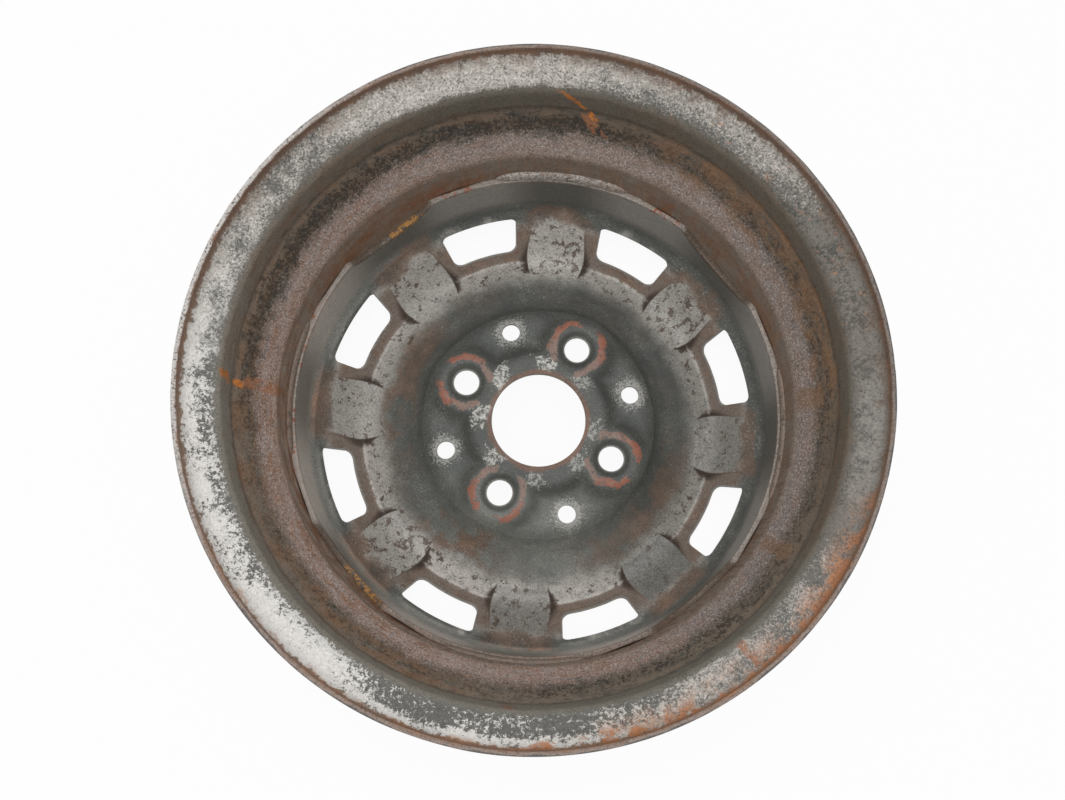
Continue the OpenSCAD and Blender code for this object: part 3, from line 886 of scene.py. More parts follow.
# rim finish: a belt is from, to and softness in mm from the outer edge of the lip,
# an arc is centre, half and softness in degrees, a level is where a noise starts and is full
noEnd = 999.0
rimFinish = settings(
    tones=dict(
        silver=(228, 226, 222), thinSilver=(228, 223, 216), underPaint=(108, 107, 103),
        dullGrey=(136, 130, 122), paleGrey=(158, 155, 150), blackGrey=(78, 77, 72),
        lip=(136, 112, 98), lipEdge=(98, 92, 89), lipPale=(154, 136, 125), lipSilver=(214, 210, 207),
        curl=(130, 109, 95), seat=(124, 118, 107), crease=(104, 96, 86), strip=(114, 102, 90),
        pitBand=(108, 97, 86), slope=(164, 151, 145), well=(186, 160, 140), wellGrey=(166, 158, 148),
        tyre=(112, 104, 96), streakDark=(176, 172, 168), streakPale=(255, 255, 255),
        orange=(218, 136, 66), curlOrange=(183, 125, 85), salmon=(190, 134, 98),
        deepRust=(176, 118, 82), brownRust=(142, 110, 84), speck=(58, 53, 47), fleck=(216, 206, 201),
    ),
    # colours from the lip down to the well floor, in mm
    stops=(
        (0.0, "lipEdge"), (0.5, "lipEdge"), (1.0, "lipPale"), (1.5, "lipPale"), (2.1, "lip"), (2.5, "lip"),
        (3.2, "curl"), (7.5, "curl"), (10.0, "underPaint"), (22.0, "underPaint"),
        (27.5, "seat"), (41.0, "seat"), (43.0, "crease"), (44.2, "crease"), (46.5, "strip"), (49.0, "strip"),
        (53.0, "pitBand"), (57.0, "pitBand"), (65.0, "slope"), (72.0, "slope"), (84.0, "well"), (120.0, "well"),
    ),
    # how far the edges of the bands wander in mm: a little, lower down, and most
    wander=(6.0, 12.0, 20.0), lowFrom=(44.0, 52.0),
    drift=(60.0, 9.0, 0.72), mid=(75.0, 5.0, 0.6), runWobble=(190.0, 3.0, 0.6),
    darkCloud=(150.0, 6.0, 0.74), rustyCloud=(330.0, 4.0, 0.7), fleckCloud=(240.0, 4.0, 0.7),
    mottle=dict(Size=420.0, Rough=0.85, Ragged=0.12), specks=dict(Size=420.0, Rough=0.85, Ragged=0.08),
    salty=dict(Size=800.0, Rough=0.95, Ragged=0.12), flaky=dict(Size=520.0, Rough=0.84, Ragged=0.05),
    # painted light and shade, lighter low down and at the lower left, darker at the right and upper right:
    # gain, arc and belt
    gains=(
        ((1.34, 1.42, 1.46), (-108, 84, 30), (24, 57, 4)),
        ((1.2, 1.16, 1.16), (-140, 60, 35), (59, noEnd, 3)),
        ((0.8, 0.83, 0.85), (-5, 52, 25), (58, 76, 4)),
        ((1.6, 1.6, 1.6), (-105, 85, 30), (3, 9, 1)),
        ((1.3, 1.26, 1.28), (-160, 75, 30), (24, 50, 6)),
        ((1.24, 1.32, 1.36), (-110, 75, 25), (81, noEnd, 4)),
        ((0.7, 0.74, 0.76), (38, 55, 25), (-noEnd, 2.7, 0.5)),
    ),
    dull=dict(arc=(8, 32, 14), belt=(8, 26, 3), amount=0.9),
    pale=dict(arc=(-5, 12, 6), belt=(7, 22, 4), amount=0.7),
    mottled=dict(arc=(16, 38, 12), belt=(7, 26, 3), amount=0.6),
    upperMottled=dict(arc=(46, 32, 12), belt=(9, 27, 3), amount=0.55),
    upperFlecks=dict(arc=(46, 32, 12), belt=(9, 27, 3), amount=0.5, level=(0.57, 0.63)),
    rubbedLip=dict(arc=(168, 34, 16), belt=(2.0, 3.2), least=0.08, amount=0.84, level=(0.3, 0.5)),
    wellGrey=dict(start=(72, 82), level=(0.42, 0.58), amount=0.85),
    wellShade=dict(arc=(-65, 65, 20), least=0.3, amount=0.5, level=(0.38, 0.58)),
    # an amount that is everywhere, then arcs with more of it as centre, half, softness and amount
    seatBrown=(0.1, (150, 32, 12, 0.75), (-14, 15, 4, 0.9), (48, 40, 20, 0.4)), seatEnd=(40, 46),
    bandBrown=(0.3, (34, 36, 12, 0.95), (-145, 50, 20, 0.8), (140, 44, 14, 0.5)), bandBelt=(42, 60, 3),
    lowBrown=(0.35, (-150, 52, 20, 0.85), (140, 44, 14, 0.4)), lowStart=(56, 66),
    brownStart=(25, 30), brownLevel=(0.4, 0.66),
    dark=(0.4, (125, 62, 20, 0.8), (-60, 40, 15, 0.55)), darkBelt=(41, 63, 5), darkLevel=(-0.01, 0.09),
    speckLeast=0.3, speckMore=(0.0, (128, 58, 14, 0.3), (35, 38, 12, 0.16), (-62, 30, 10, 0.12)),
    speckBelt=(48, 60, 4), speckShow=(0.05, 0.5), speckAmount=0.8,
    sparkleBelt=(58, 78, 7), sparklePale=(0.54, 0.64), sparkleDark=(0.46, 0.37), sparkleAmount=0.4,
    rustyLeast=0.12, rustyMore=(0.0, (-145, 46, 20, 0.36), (-75, 20, 10, 0.34), (150, 34, 14, 0.2)),
    rustyLevel=(0.43, 0.66),
    lowStain=dict(arc=(-142, 48, 20), belt=(44, 62, 4), amount=0.5, level=(0.4, 0.7)),
    bronze=dict(arc=(38, 34, 12), belt=(44, 65, 4), amount=0.6, level=(0.42, 0.58)),
    joint=(0.0, (131, 26, 8, 1.0), (-140, 38, 12, 1.0), (45, 30, 10, 0.5), (-45, 30, 10, 0.5)),
    jointStart=(84, 100), jointLevel=(0.4, 0.56), jointAmount=0.7,
    # silver paint: how much of the flange it covers, and how that falls off inwards
    thick=(-134, 60, 20), bare=(8, 30, 14), flakyArc=(-118, 66, 14), solid=(-128, 9, 5, 0.3),
    coverLeast=0.52, thickCover=0.3,
    coverMore=((107, 24, 8, 0.42), (60, 28, 10, 0.34), (-72, 20, 10, 0.3)),
    wearLeast=0.08, thickWear=0.3, wearMore=((-88, 28, 10, 0.2), (60, 28, 10, 0.36)),
    shortWear=(-88, 30, 10), wearSpan=(9.0, 23.0), shortSpan=(9.5, 15.5), clump=1.6,
    paintStart=(4.0, 8.5), paintEnd=(22.5, 28.5), startStreak=(0.4, 0.7), startBy=3.0,
    earlyArc=(-142, 16, 8), earlyBy=2.0, paintShow=(0.02, 0.25), thinShare=0.86, thickShare=0.97,
    pinkBelt=(6, 13, 3), pinkLevel=(0.42, 0.6), pinkAmount=0.5,
    # orange rust under the curl and smeared a little way down the flange
    curlMore=((-50, 34, 8, 0.6), (-112, 40, 12, 0.3)), curlLeast=0.28, curlStart=(2.4, 3.6),
    dripFrom=4.0, dripBy=3.0, dripLow=9.0, dripSoft=2.0, dripLevel=(0.4, 0.62), curlLevel=(0.3, 0.54),
    smearArc=(-45, 28, 10), smearStart=(5, 8), smearEnd=(9, 24), smearLevel=(0.4, 0.6),
    smearGrain=(0.36, 0.56), smearAmount=0.85,
    # runs: angle and mm where one starts, lean in degrees a mm, width in degrees, length in mm
    brightRuns=((91.5, 27, -0.33, 0.9, 22), (-177.2, 27, 0.05, 1.0, 12), (-176.6, 44, 0.05, 1.2, 8)),
    brownRuns=(
        (86.5, 46, -0.33, 1.8, 12), (-90, 29, 0, 1.3, 10), (-177, 52, 0, 1.6, 40),
        (-47, 9, 0, 0.9, 16), (63.5, 88, 0, 2.2, 14), (120, 86, 0, 2.2, 16),
    ),
    dullRuns=((6, 55, 0, 3.2, 20), (-27, 50, 0, 2.2, 24)),
    runSway=2.6, runCore=0.45, runSoft=1.5, runLevel=(0.4, 0.5),
    saltShare=0.6, saltOnPaint=0.24, tyreLevel=(0.38, 0.6), tyreSalt=0.7,
    steelRough=(0.58, 0.8), paintRough=0.5, specular=0.35, bumpDepth=0.0004, bumpStrength=0.45,
)


def makeRimSteel(f):
    material, kit, shader = newFinish("rimSteel")
    plus, minus, times, most = kit.plus, kit.minus, kit.times, kit.most
    span, fade, band, blend, mixValue = kit.span, kit.fade, kit.band, kit.blend, kit.mixValue
    hue = tones(f.tones)
    place = kit.place()
    angle = kit.use(wheelPlace)["Angle"]
    patch, strongest = arcTools(kit, angle)
    rust = kit.use(rustMottle, Patch=42.0, Orange=0.3)
    salt = kit.use(grain, Size=900.0, Contrast=1.3)
    streak, fineStreak = (kit.use(streaks, Size=size)["Level"] for size in (230.0, 640.0))
    along = kit.mask("along")
    ringStain = kit.use(ringStains, Along=along, Size=260.0)["Level"]
    drift = minus(kit.cloud(place, *f.drift), 0.5)
    mid = kit.cloud(place, *f.mid)
    near, low, loose = (plus(along, times(drift, by)) for by in f.wander)

    def zone(name, at):
        return times(patch(*f[name]["arc"]), band(at, *f[name]["belt"]), f[name]["amount"])

    def mixed(a, shareA, b, shareB):
        return plus(times(a, shareA), times(b, shareB))

    def paint(share, tint, kind="MIX"):
        nonlocal colour
        colour = blend(share, colour, tint, kind)

    # bands from the lip down to the well floor, their edges wandering
    last = f.stops[-1][0]
    wander = mixValue(span(along, *f.lowFrom), near, low)
    stops = [(at / last, hue[name]) for at, name in f.stops]
    colour = kit.ladder(kit.maths("DIVIDE", wander, last), stops, "LINEAR")
    inWell = span(loose, *f.wellGrey["start"])
    paint(times(span(streak, *f.wellGrey["level"]), inWell, f.wellGrey["amount"]), hue.wellGrey)
    # painted light and shade: lighter and darker stretches round the rim
    for gain, arc, belt in f.gains:
        paint(times(patch(*arc), band(near, *belt)), (*gain, 1.0), "MULTIPLY")
    # the right of the flange is dull and smooth, paler in one place
    paint(zone("dull", near), hue.dullGrey)
    paint(zone("pale", loose), hue.paleGrey)
    mottles = kit.use(chips, Cover=plus(0.36, minus(times(mid, 1.6), 0.8)), **f.mottle)["Mask"]
    paint(times(zone("mottled", near), mottles), hue.blackGrey)
    # the lip is rubbed to silver at the left
    lip = f.rubbedLip
    rubbed = times(fade(near, *lip["belt"]), plus(lip["least"], times(patch(*lip["arc"]), lip["amount"])))
    paint(times(rubbed, span(salt["Fine"], *lip["level"])), hue.lipSilver)

    # brown and blackish stains drawn out round the wall: most at the upper left, the right and low down
    brownShare = most(
        times(strongest(*f.seatBrown), fade(loose, *f.seatEnd)),
        times(strongest(*f.bandBrown), band(loose, *f.bandBelt)),
        times(strongest(*f.lowBrown), span(loose, *f.lowStart)),
    )
    brownLevel = span(mixed(mid, 0.35, ringStain, 0.65), *f.brownLevel)
    paint(times(brownShare, span(loose, *f.brownStart), brownLevel), hue.brownRust)
    darkLevel = span(mixed(ringStain, -0.65, kit.cloud(place, *f.darkCloud), 0.65), *f.darkLevel)
    paint(times(band(loose, *f.darkBelt), strongest(*f.dark), darkLevel), hue.blackGrey)
    # black specks in clumps below the seat
    speckZone = band(loose, *f.speckBelt)
    speckCover = times(speckZone, plus(f.speckLeast, strongest(*f.speckMore)))
    specks = kit.use(chips, Cover=plus(speckCover, minus(times(mid, 0.9), 0.45)), **f.specks)["Mask"]
    speckShare = times(specks, span(speckZone, *f.speckShow))
    paint(times(speckShare, f.speckAmount), hue.speck)
    # the slope sparkles with pale, dark and rusty grains
    sparkle = times(band(loose, *f.sparkleBelt), f.sparkleAmount)
    paint(times(span(salt["Fine"], *f.sparklePale), sparkle), hue.fleck)
    paint(times(span(salt["Fine"], *f.sparkleDark), sparkle), hue.pitBand)
    rustyLevel = span(mixed(kit.cloud(place, *f.rustyCloud), 0.6, ringStain, 0.4), *f.rustyLevel)
    rustyShare = plus(f.rustyLeast, strongest(*f.rustyMore))
    paint(times(rustyLevel, rustyShare, span(loose, *f.lowStart)), hue.deepRust)
    lowLevel = span(mixed(ringStain, 0.6, mid, 0.4), *f.lowStain["level"])
    paint(times(zone("lowStain", loose), lowLevel), hue.brownRust)
    evenStain = mixed(mid, 0.5, ringStain, 0.5)
    paint(times(zone("bronze", loose), span(evenStain, *f.bronze["level"])), hue.brownRust)
    joint = times(span(loose, *f.jointStart), span(evenStain, *f.jointLevel), f.jointAmount)
    paint(times(strongest(*f.joint), joint), hue.deepRust)
    shade = f.wellShade
    shades = list(zip(shade["level"], (hue.streakDark, hue.streakPale)))
    shaded = times(inWell, plus(shade["least"], times(patch(*shade["arc"]), shade["amount"])))
    paint(shaded, kit.ladder(mixed(streak, 0.5, fineStreak, 0.5), shades), "MULTIPLY")

    # old silver paint on the flange: solid at the lower left, breaking into flakes inwards, fine salt above
    thick = patch(*f.thick)
    cover = plus(f.coverLeast, strongest(times(thick, f.thickCover), *f.coverMore))
    wear = plus(f.wearLeast, times(thick, f.thickWear))
    wear = plus(wear, *[patch(*arc) for arc in f.wearMore])
    worn = mixValue(patch(*f.shortWear), span(near, *f.wearSpan), span(near, *f.shortSpan))
    clumps = plus(times(minus(mid, 0.5), f.clump), patch(*f.solid))
    cover = plus(minus(cover, times(wear, worn)), clumps)
    start = minus(near, times(span(streak, *f.startStreak), f.startBy))
    start = span(plus(start, times(patch(*f.earlyArc), f.earlyBy)), *f.paintStart)
    onFlange = times(start, fade(near, *f.paintEnd), minus(1.0, patch(*f.bare)))
    coverOn = minus(times(plus(cover, 0.2), onFlange), 0.2)  # under zero off the flange: no chip there
    salty, flaky = (kit.use(chips, Cover=coverOn, **f[name])["Mask"] for name in ("salty", "flaky"))
    shown = times(mixValue(patch(*f.flakyArc), salty, flaky), span(onFlange, *f.paintShow))
    thin = blend(0.8, hue.thinSilver, salt["Shade"], "MULTIPLY")
    silver = blend(times(thick, 0.9), thin, hue.silver)
    paint(times(shown, mixValue(thick, f.thinShare, f.thickShare)), silver)
    paint(times(zone("upperMottled", near), mottles), hue.blackGrey)
    flecks = span(mixed(kit.cloud(place, *f.fleckCloud), 0.7, mid, 0.3), *f.upperFlecks["level"])
    paint(times(zone("upperFlecks", near), flecks), hue.salmon)
    pink = times(span(mid, *f.pinkLevel), f.pinkAmount)
    paint(times(band(loose, *f.pinkBelt), minus(1.0, thick), pink), hue.curl)

    # orange rust under the curl, smeared a little way down the flange at the lower right
    lowRight = plus(*[patch(*arc) for arc in f.curlMore])
    drip = times(span(mid, *f.dripLevel), plus(f.dripBy, times(lowRight, f.dripLow)))
    past = minus(near, plus(f.dripFrom, drip))
    curlRust = times(span(near, *f.curlStart), fade(past, -f.dripSoft, f.dripSoft))
    paint(times(curlRust, plus(f.curlLeast, lowRight), span(salt["Clump"], *f.curlLevel)), hue.curlOrange)
    smear = times(span(near, *f.smearStart), fade(near, *f.smearEnd), span(salt["Fine"], *f.smearGrain))
    smearLevel = span(plus(mid, times(drift, 0.6)), *f.smearLevel)
    paint(times(smearLevel, patch(*f.smearArc), smear, f.smearAmount), hue.salmon)

    # orange runs: a slanting one at the top with a blot at its end, short ones at the left, dull ones below
    sway = times(minus(kit.cloud(place, *f.runWobble), 0.5), f.runSway)

    def run(startTurn, startAlong, lean, width, length):
        down = minus(along, startAlong)
        off = plus(minus(angle, startTurn), plus(times(down, -lean), sway))
        wide = fade(kit.maths("ABSOLUTE", off), width * f.runCore, width)
        return times(wide, band(along, startAlong, startAlong + length, f.runSoft))

    broken = span(salt["Clump"], *f.runLevel)
    dullRuns, brownRuns, brightRuns = (
        most(*[run(*one) for one in f[name]]) for name in ("dullRuns", "brownRuns", "brightRuns")
    )
    paint(times(dullRuns, 0.6), hue.brownRust)
    paint(times(brownRuns, broken, 0.65), hue.deepRust)
    paint(times(brightRuns, broken, 0.9), hue.orange)
    paint(minus(f.saltShare, times(thick, shown, f.saltOnPaint)), salt["Shade"], "MULTIPLY")

    # tyre side: plain brown-grey with rust patches
    tyre = kit.mask("tyreSide")
    outer = blend(span(rust["Mottle"], *f.tyreLevel), hue.tyre, rust["Color"])
    paint(tyre, blend(f.tyreSalt, outer, salt["Shade"], "MULTIPLY"))
    kit.plug(shader.inputs["Base Color"], colour)

    painted = times(shown, minus(1.0, tyre))
    rough = mixValue(painted, mixValue(salt["Clump"], *f.steelRough), f.paintRough)
    kit.plug(shader.inputs["Roughness"], rough)
    shader.inputs["Specular IOR Level"].default_value = f.specular
    relief = plus(times(salt["Fine"], mixValue(painted, 0.5, 0.06)), times(painted, 0.12))
    bumpFrom(kit, shader, minus(relief, times(speckShare, 0.4)), f.bumpDepth, f.bumpStrength)
    return material


# disc finish, with belts in mm of radius
discFinish = settings(
    tones=dict(
        # the dimmer rubbed silver is the same silver in painted shade
        coat=(107, 109, 105), hub=(95, 98, 95), worn=(196, 192, 185), wornDim=(148, 145, 139),
        bare=(224, 223, 216), halo=(190, 189, 184), primer=(172, 112, 91), oldPrimer=(158, 134, 124),
        dark=(62, 61, 57), sideDark=(88, 74, 66), ventWall=(138, 124, 114), pit=(96, 78, 68),
        # the two skirt greys are one paint, lit and in shade as painted light
        skirt=(184, 181, 175), skirtDim=(128, 127, 121), edge=(176, 168, 160), scallop=(104, 86, 70),
        gold=(206, 152, 84), redRust=(168, 92, 58),
    ),
    broad=(40.0, 7.0, 0.66), reachWander=26.0, coatLevel=(0.36, 0.64),
    # painted light and shade, lighter and darker stretches: gain, then arc
    lowHub=((1.75, 1.72, 1.7), (-92, 36, 30)), lowHubStart=(40, 50), lowHubEnd=(84, 98),
    lowRing=((1.32, 1.32, 1.34), (-95, 36, 14)), lowRingBelt=(88, 110, 5),
    darkSpoke=((0.8, 0.82, 0.82), (-45, 12, 4)),
    lowSkirt=((1.85, 1.78, 1.76), (-130, 80, 30)),
    lowBend=((2.5, 2.4, 2.4), (-140, 80, 30)), lowBendBelt=(134.6, 141, 1), lowBendHigh=(2.0, -9.0),
    lowBendVent=(0.35, 0.7), lowBendOut=(135.5, 137.5),
    ringRust=(0.15, (-118, 16, 8, 1.0), (-35, 34, 12, 0.6), (168, 30, 14, 0.7)),
    ringBelt=(78, 97, 4), ringLevel=(0.4, 0.52), ringAmount=0.85,
    # rubbed towards silver, dulled by painted shade on the spoke tops but the top one, and at the right
    dimSpokes=(-45, 58, 6), dimRight=(-8, 44, 18, 0.5), brightSpoke=(90, 10, 4), dimRest=0.4,
    rubStart=(89, 106), rubEnd=(128, 135), rubWander=14.0, rubGrain=(0.3, 0.56, 0.45, 1.0),
    # painted shade: a dark line at the edge of the hub, and darker creases round its lands
    hubEdge=(71, 72), hubEdgeEnd=(72.4, 77), hubEdgeArc=(80, 110, 30), hubEdgeShare=(0.22, 0.28),
    creaseHigh=(-6.5, -1.8, 1.4), creaseEnd=(64, 68), creaseAmount=0.32,
    # brown pits
    pitArcs=((90, 9, 3, 1.0), (45, 9, 3, 1.0), (-124, 24, 4, 0.92)),
    pitLeast=0.74, pitSmooth=(-45, 12, 4, 0.25),
    pitBelt=(98, 130, 3), pitCloud=(55.0, 3.0, 0.5), pitLevel=(0.44, 0.56, 0.55, 1.0), pitCover=0.38,
    pits=dict(Size=190.0, Rough=0.72, Ragged=0.03), pitShow=(0.1, 0.5), pitAmount=0.85,
    wallRust=(0.42, 0.62, 0.1, 0.6), wallAmount=0.92, sideAmount=0.95, sideFade=(1.0, 12.0),
    foldEdge=(-1.8, -0.3, 0.4), foldVent=(0.42, 0.5), foldGrain=(0.42, 0.56), foldAmount=0.5,
    turnUp=(129, 138, 2.5), turnUpHigh=(-9, -2), turnUpVent=(0.3, 0.5), turnUpAmount=0.75,
    # skirt and its edge, in mm from the edge
    skirtHigh=(-9, 2), skirtStart=(134, 137), skirtVent=(0.15, 0.8),
    rustEdge=(0.5, 4.5), rustEdgeShare=(0.9, 0.4), edgeWander=10.0,
    lowEdge=(-85, 42, 15), lowEdgeDeep=(0.6, 1.6), lowEdgeAmount=0.8,
    sandDeep=(0.3, 1.2), sandGrain=(0.4, 0.56), sandLow=0.6, sandShare=(0.15, 0.65),
    goldArcs=(0.0, (131, 7, 4, 0.5), (-130, 8, 4, 0.5)), goldDeep=(2.0, 6.0), goldAmount=0.9,
    goldFlakes=dict(Size=220.0, Speck=600.0, Ragged=0.05),
    redArcs=(0.0, (63, 6, 3, 0.5), (117, 5, 3, 0.5), (178, 26, 10, 0.375)),
    redDeep=(1.0, 5.0), redAmount=0.85,
    redFlakes=dict(Size=200.0, Speck=600.0, Ragged=0.08), flakeShow=(0.1, 0.3),
    # white scratches on the land, most at the left, and rust round the bore
    scratchBelt=(30, 41, 3), scratchTurn=(11, 31, 7), scratchWander=(22.0, 60.0), scratchFrom=(5.5, 8.0),
    scratchCover=0.52, scratches=dict(Size=340.0, Rough=0.9, Ragged=0.08), scratchShow=(0.1, 0.5),
    scratchArc=(150, 85, 20), scratchShare=(0.55, 0.4),
    boreRust=(1.4, 4.0), boreWander=9.0, boreAmount=0.75, borePrimer=0.3,
    # worn specks round the small holes
    haloFall=(0.0, 9.0, 0.18, -0.18), haloDrift=0.6, haloLevel=(0.42, 0.74, 0.0, 0.8),
    haloRim=(0.3, 1.4), haloRimAmount=0.55,
    # arcs of primer round each bolt hole: mm from the hole, and degrees from the outward side
    primerBelt=(5.8, 9.9, 0.4), primerTurn=(24, 150, 6), primerGrain=(0.36, 0.46), primerAmount=0.9,
    primerCloud=(120.0, 5.0, 0.65), primerWobble=(80.0, 9.0), primerTaper=(20, 150, -0.7, 1.0),
    primerFade=(60, 120), primerFadeGrain=160.0,
    recess=(1.0, 3.8, 1.0), recessAmount=0.6, boltEdge=(0.4, 1.0), boltEdgeAmount=0.4,
    saltShare=0.55, back=dict(Cover=0.68, Size=34.0, Speck=400.0, Ragged=0.1), backSalt=0.5,
    coatRough=(0.5, 0.74), wornRough=0.46, specular=0.4, bumpDepth=0.0005, bumpStrength=0.45,
)


def makeDiscSteel(f, foldR, boreR):
    material, kit, shader = newFinish("discSteel")
    plus, minus, times, most = kit.plus, kit.minus, kit.times, kit.most
    span, fade, band, blend = kit.span, kit.fade, kit.band, kit.blend
    hue = tones(f.tones)
    place = kit.place()
    where = kit.use(wheelPlace)
    radius, height = where["Radius"], where["Height"]
    patch, strongest = arcTools(kit, where["Angle"])
    rust = kit.use(rustMottle, Patch=55.0, Orange=0.12)
    salt = kit.use(grain, Size=900.0, Contrast=1.2)
    broad = kit.cloud(place, *f.broad)
    drift = minus(broad, 0.5)
    names = ("spokeTop", "spokeSide", "ventWall", "ventSide", "boltGap", "pinGap", "edgeGap", "lobe")
    spokeTop, side, ventWall, ventSide, boltGap, pinGap, edgeGap, lobe = (kit.mask(name) for name in names)

    def wandering(value, by):
        return plus(value, times(drift, by))

    def paint(share, tint, kind="MIX"):
        nonlocal colour
        colour = blend(share, colour, tint, kind)

    # multiplies a gain in over an arc, as painted light and shade
    def paintLightAndShade(name, *shares):
        gain, arc = f[name]
        paint(times(patch(*arc), *shares), (*gain, 1.0), "MULTIPLY")

    # charcoal coat, with painted light making the lower side of the hub lighter; rust round the foot of the hub
    # comes further down
    reach = wandering(radius, f.reachWander)
    colour = blend(span(broad, *f.coatLevel), hue.hub, hue.coat)
    paintLightAndShade("lowHub", span(radius, *f.lowHubStart), fade(radius, *f.lowHubEnd))
    # ring, tabs and spokes are rubbed towards silver, dulled by painted shade on the spoke tops but the top
    # one, and at the right
    dim = most(
        times(patch(*f.dimSpokes), spokeTop), patch(*f.dimRight),
        times(spokeTop, minus(1.0, patch(*f.brightSpoke)), f.dimRest),
    )
    rubbedAndShadedColour = blend(dim, hue.worn, hue.wornDim)
    grains = span(plus(times(salt["Fine"], 0.6), times(salt["Clump"], 0.4)), *f.rubGrain)
    rubbed = times(span(wandering(radius, f.rubWander), *f.rubStart), fade(reach, *f.rubEnd), grains)
    paint(rubbed, rubbedAndShadedColour)
    # painted light on the lower side of the ring, painted shade on the lower right spoke top
    paintLightAndShade("lowRing", band(radius, *f.lowRingBelt))
    paintLightAndShade("darkSpoke", spokeTop)
    # painted shade: a dark line at the edge of the hub, most at the top, and darker creases round its lands
    leastLine, moreLine = f.hubEdgeShare
    hubEdge = times(span(wandering(radius, 2.0), *f.hubEdge), fade(radius, *f.hubEdgeEnd))
    hubEdge = times(hubEdge, plus(leastLine, times(patch(*f.hubEdgeArc), moreLine)))
    crease = times(band(height, *f.creaseHigh), fade(radius, *f.creaseEnd), f.creaseAmount)
    paint(most(hubEdge, crease), hue.dark)
    ringRust = times(band(reach, *f.ringBelt), span(rust["Mottle"], *f.ringLevel), strongest(*f.ringRust))
    paint(times(ringRust, f.ringAmount), rust["Color"])
    # crisp brown pits in clumps, most on the top, upper right and lower left spokes
    pitLeast = minus(f.pitLeast, patch(*f.pitSmooth))
    pitClumps = span(kit.cloud(place, *f.pitCloud), *f.pitLevel)
    pitZone = times(band(radius, *f.pitBelt), strongest(pitLeast, *f.pitArcs), pitClumps)
    pits = kit.use(chips, Cover=times(pitZone, f.pitCover), **f.pits)["Mask"]
    pitShare = times(pits, span(pitZone, *f.pitShow))
    paint(times(pitShare, f.pitAmount), hue.pit)

    # vent walls and spoke sides are brown rust, the sides darkest at the fold: rust with painted shade in the
    # bend there
    wallColour = blend(span(rust["Mottle"], *f.wallRust), hue.ventWall, rust["Color"])
    pastFold = minus(radius, foldR)
    paint(times(ventWall, span(wandering(pastFold, 5.0), -0.6, 0.6), f.wallAmount), wallColour)
    sideColour = blend(span(pastFold, *f.sideFade), hue.sideDark, hue.ventWall)
    paint(times(side, f.sideAmount), sideColour)
    # a lighter line along the fold: rubbed silver with a painted highlight
    foldEdge = times(band(pastFold, *f.foldEdge), minus(1.0, spokeTop), span(ventSide, *f.foldVent))
    paint(times(foldEdge, span(salt["Clump"], *f.foldGrain), f.foldAmount), hue.worn)
    # brown where the spokes turn up to the skirt
    turnUp = times(band(reach, *f.turnUp), fade(height, *f.turnUpHigh), fade(ventSide, *f.turnUpVent))
    paint(times(turnUp, f.turnUpAmount), rust["Color"])

    # skirt: smooth, with painted light making it paler beside the vents and lighter at the lower left, the bend
    # below it too; its edge sandy and rusty
    skirt = times(span(height, *f.skirtHigh), span(radius, *f.skirtStart))
    paint(skirt, blend(span(ventSide, *f.skirtVent), hue.skirtDim, hue.skirt))
    paintLightAndShade("lowSkirt", skirt)
    bend = times(band(radius, *f.lowBendBelt), span(height, *f.lowBendHigh))
    paintLightAndShade("lowBend", bend, most(span(ventSide, *f.lowBendVent), span(radius, *f.lowBendOut)))
    rustMost, rustLess = f.rustEdgeShare
    rustEdge = times(fade(wandering(edgeGap, f.edgeWander), *f.rustEdge), skirt)
    paint(times(rustEdge, minus(rustMost, times(lobe, rustLess))), blend(lobe, hue.scallop, rust["Color"]))
    lowEdge = patch(*f.lowEdge)
    paint(times(fade(edgeGap, *f.lowEdgeDeep), skirt, lowEdge, f.lowEdgeAmount), rust["Color"])
    sandLeast, sandMore = f.sandShare
    sand = times(fade(edgeGap, *f.sandDeep), span(salt["Fine"], *f.sandGrain), skirt)
    sandPlace = times(minus(1.0, times(lowEdge, f.sandLow)), plus(sandLeast, times(lobe, sandMore)))
    paint(times(sand, sandPlace), hue.edge)
    for name, tint in (("gold", hue.gold), ("red", hue.redRust)):
        cover = strongest(*f[name + "Arcs"])
        deep = times(cover, fade(edgeGap, *f[name + "Deep"]))
        spots = kit.use(flakes, Cover=deep, **f[name + "Flakes"])["Mask"]
        paint(times(spots, span(cover, *f.flakeShow), skirt, f[name + "Amount"]), tint)

    # land: white scratches in clumps beside the bolts, rust at the edge of the bore
    wanderR, wanderTurn = f.scratchWander
    scratchZone = times(
        band(wandering(radius, wanderR), *f.scratchBelt),
        band(wandering(kit.mask("boltTurn"), wanderTurn), *f.scratchTurn), span(boltGap, *f.scratchFrom),
    )
    scratches = kit.use(chips, Cover=times(scratchZone, f.scratchCover), **f.scratches)["Mask"]
    scratchLeast, scratchMore = f.scratchShare
    scratchShare = plus(scratchLeast, times(patch(*f.scratchArc), scratchMore))
    paint(times(scratches, span(scratchZone, *f.scratchShow), scratchShare), hue.bare)
    fromBore = wandering(minus(radius, boreR), f.boreWander)
    paint(fade(fromBore, *f.boreRust, f.boreAmount), blend(f.borePrimer, rust["Color"], hue.primer))
    # bright worn specks round the small holes
    haloLevel = plus(salt["Fine"], wandering(span(pinGap, *f.haloFall), f.haloDrift))
    halo = most(span(haloLevel, *f.haloLevel), fade(pinGap, *f.haloRim, f.haloRimAmount))
    paint(halo, hue.halo)
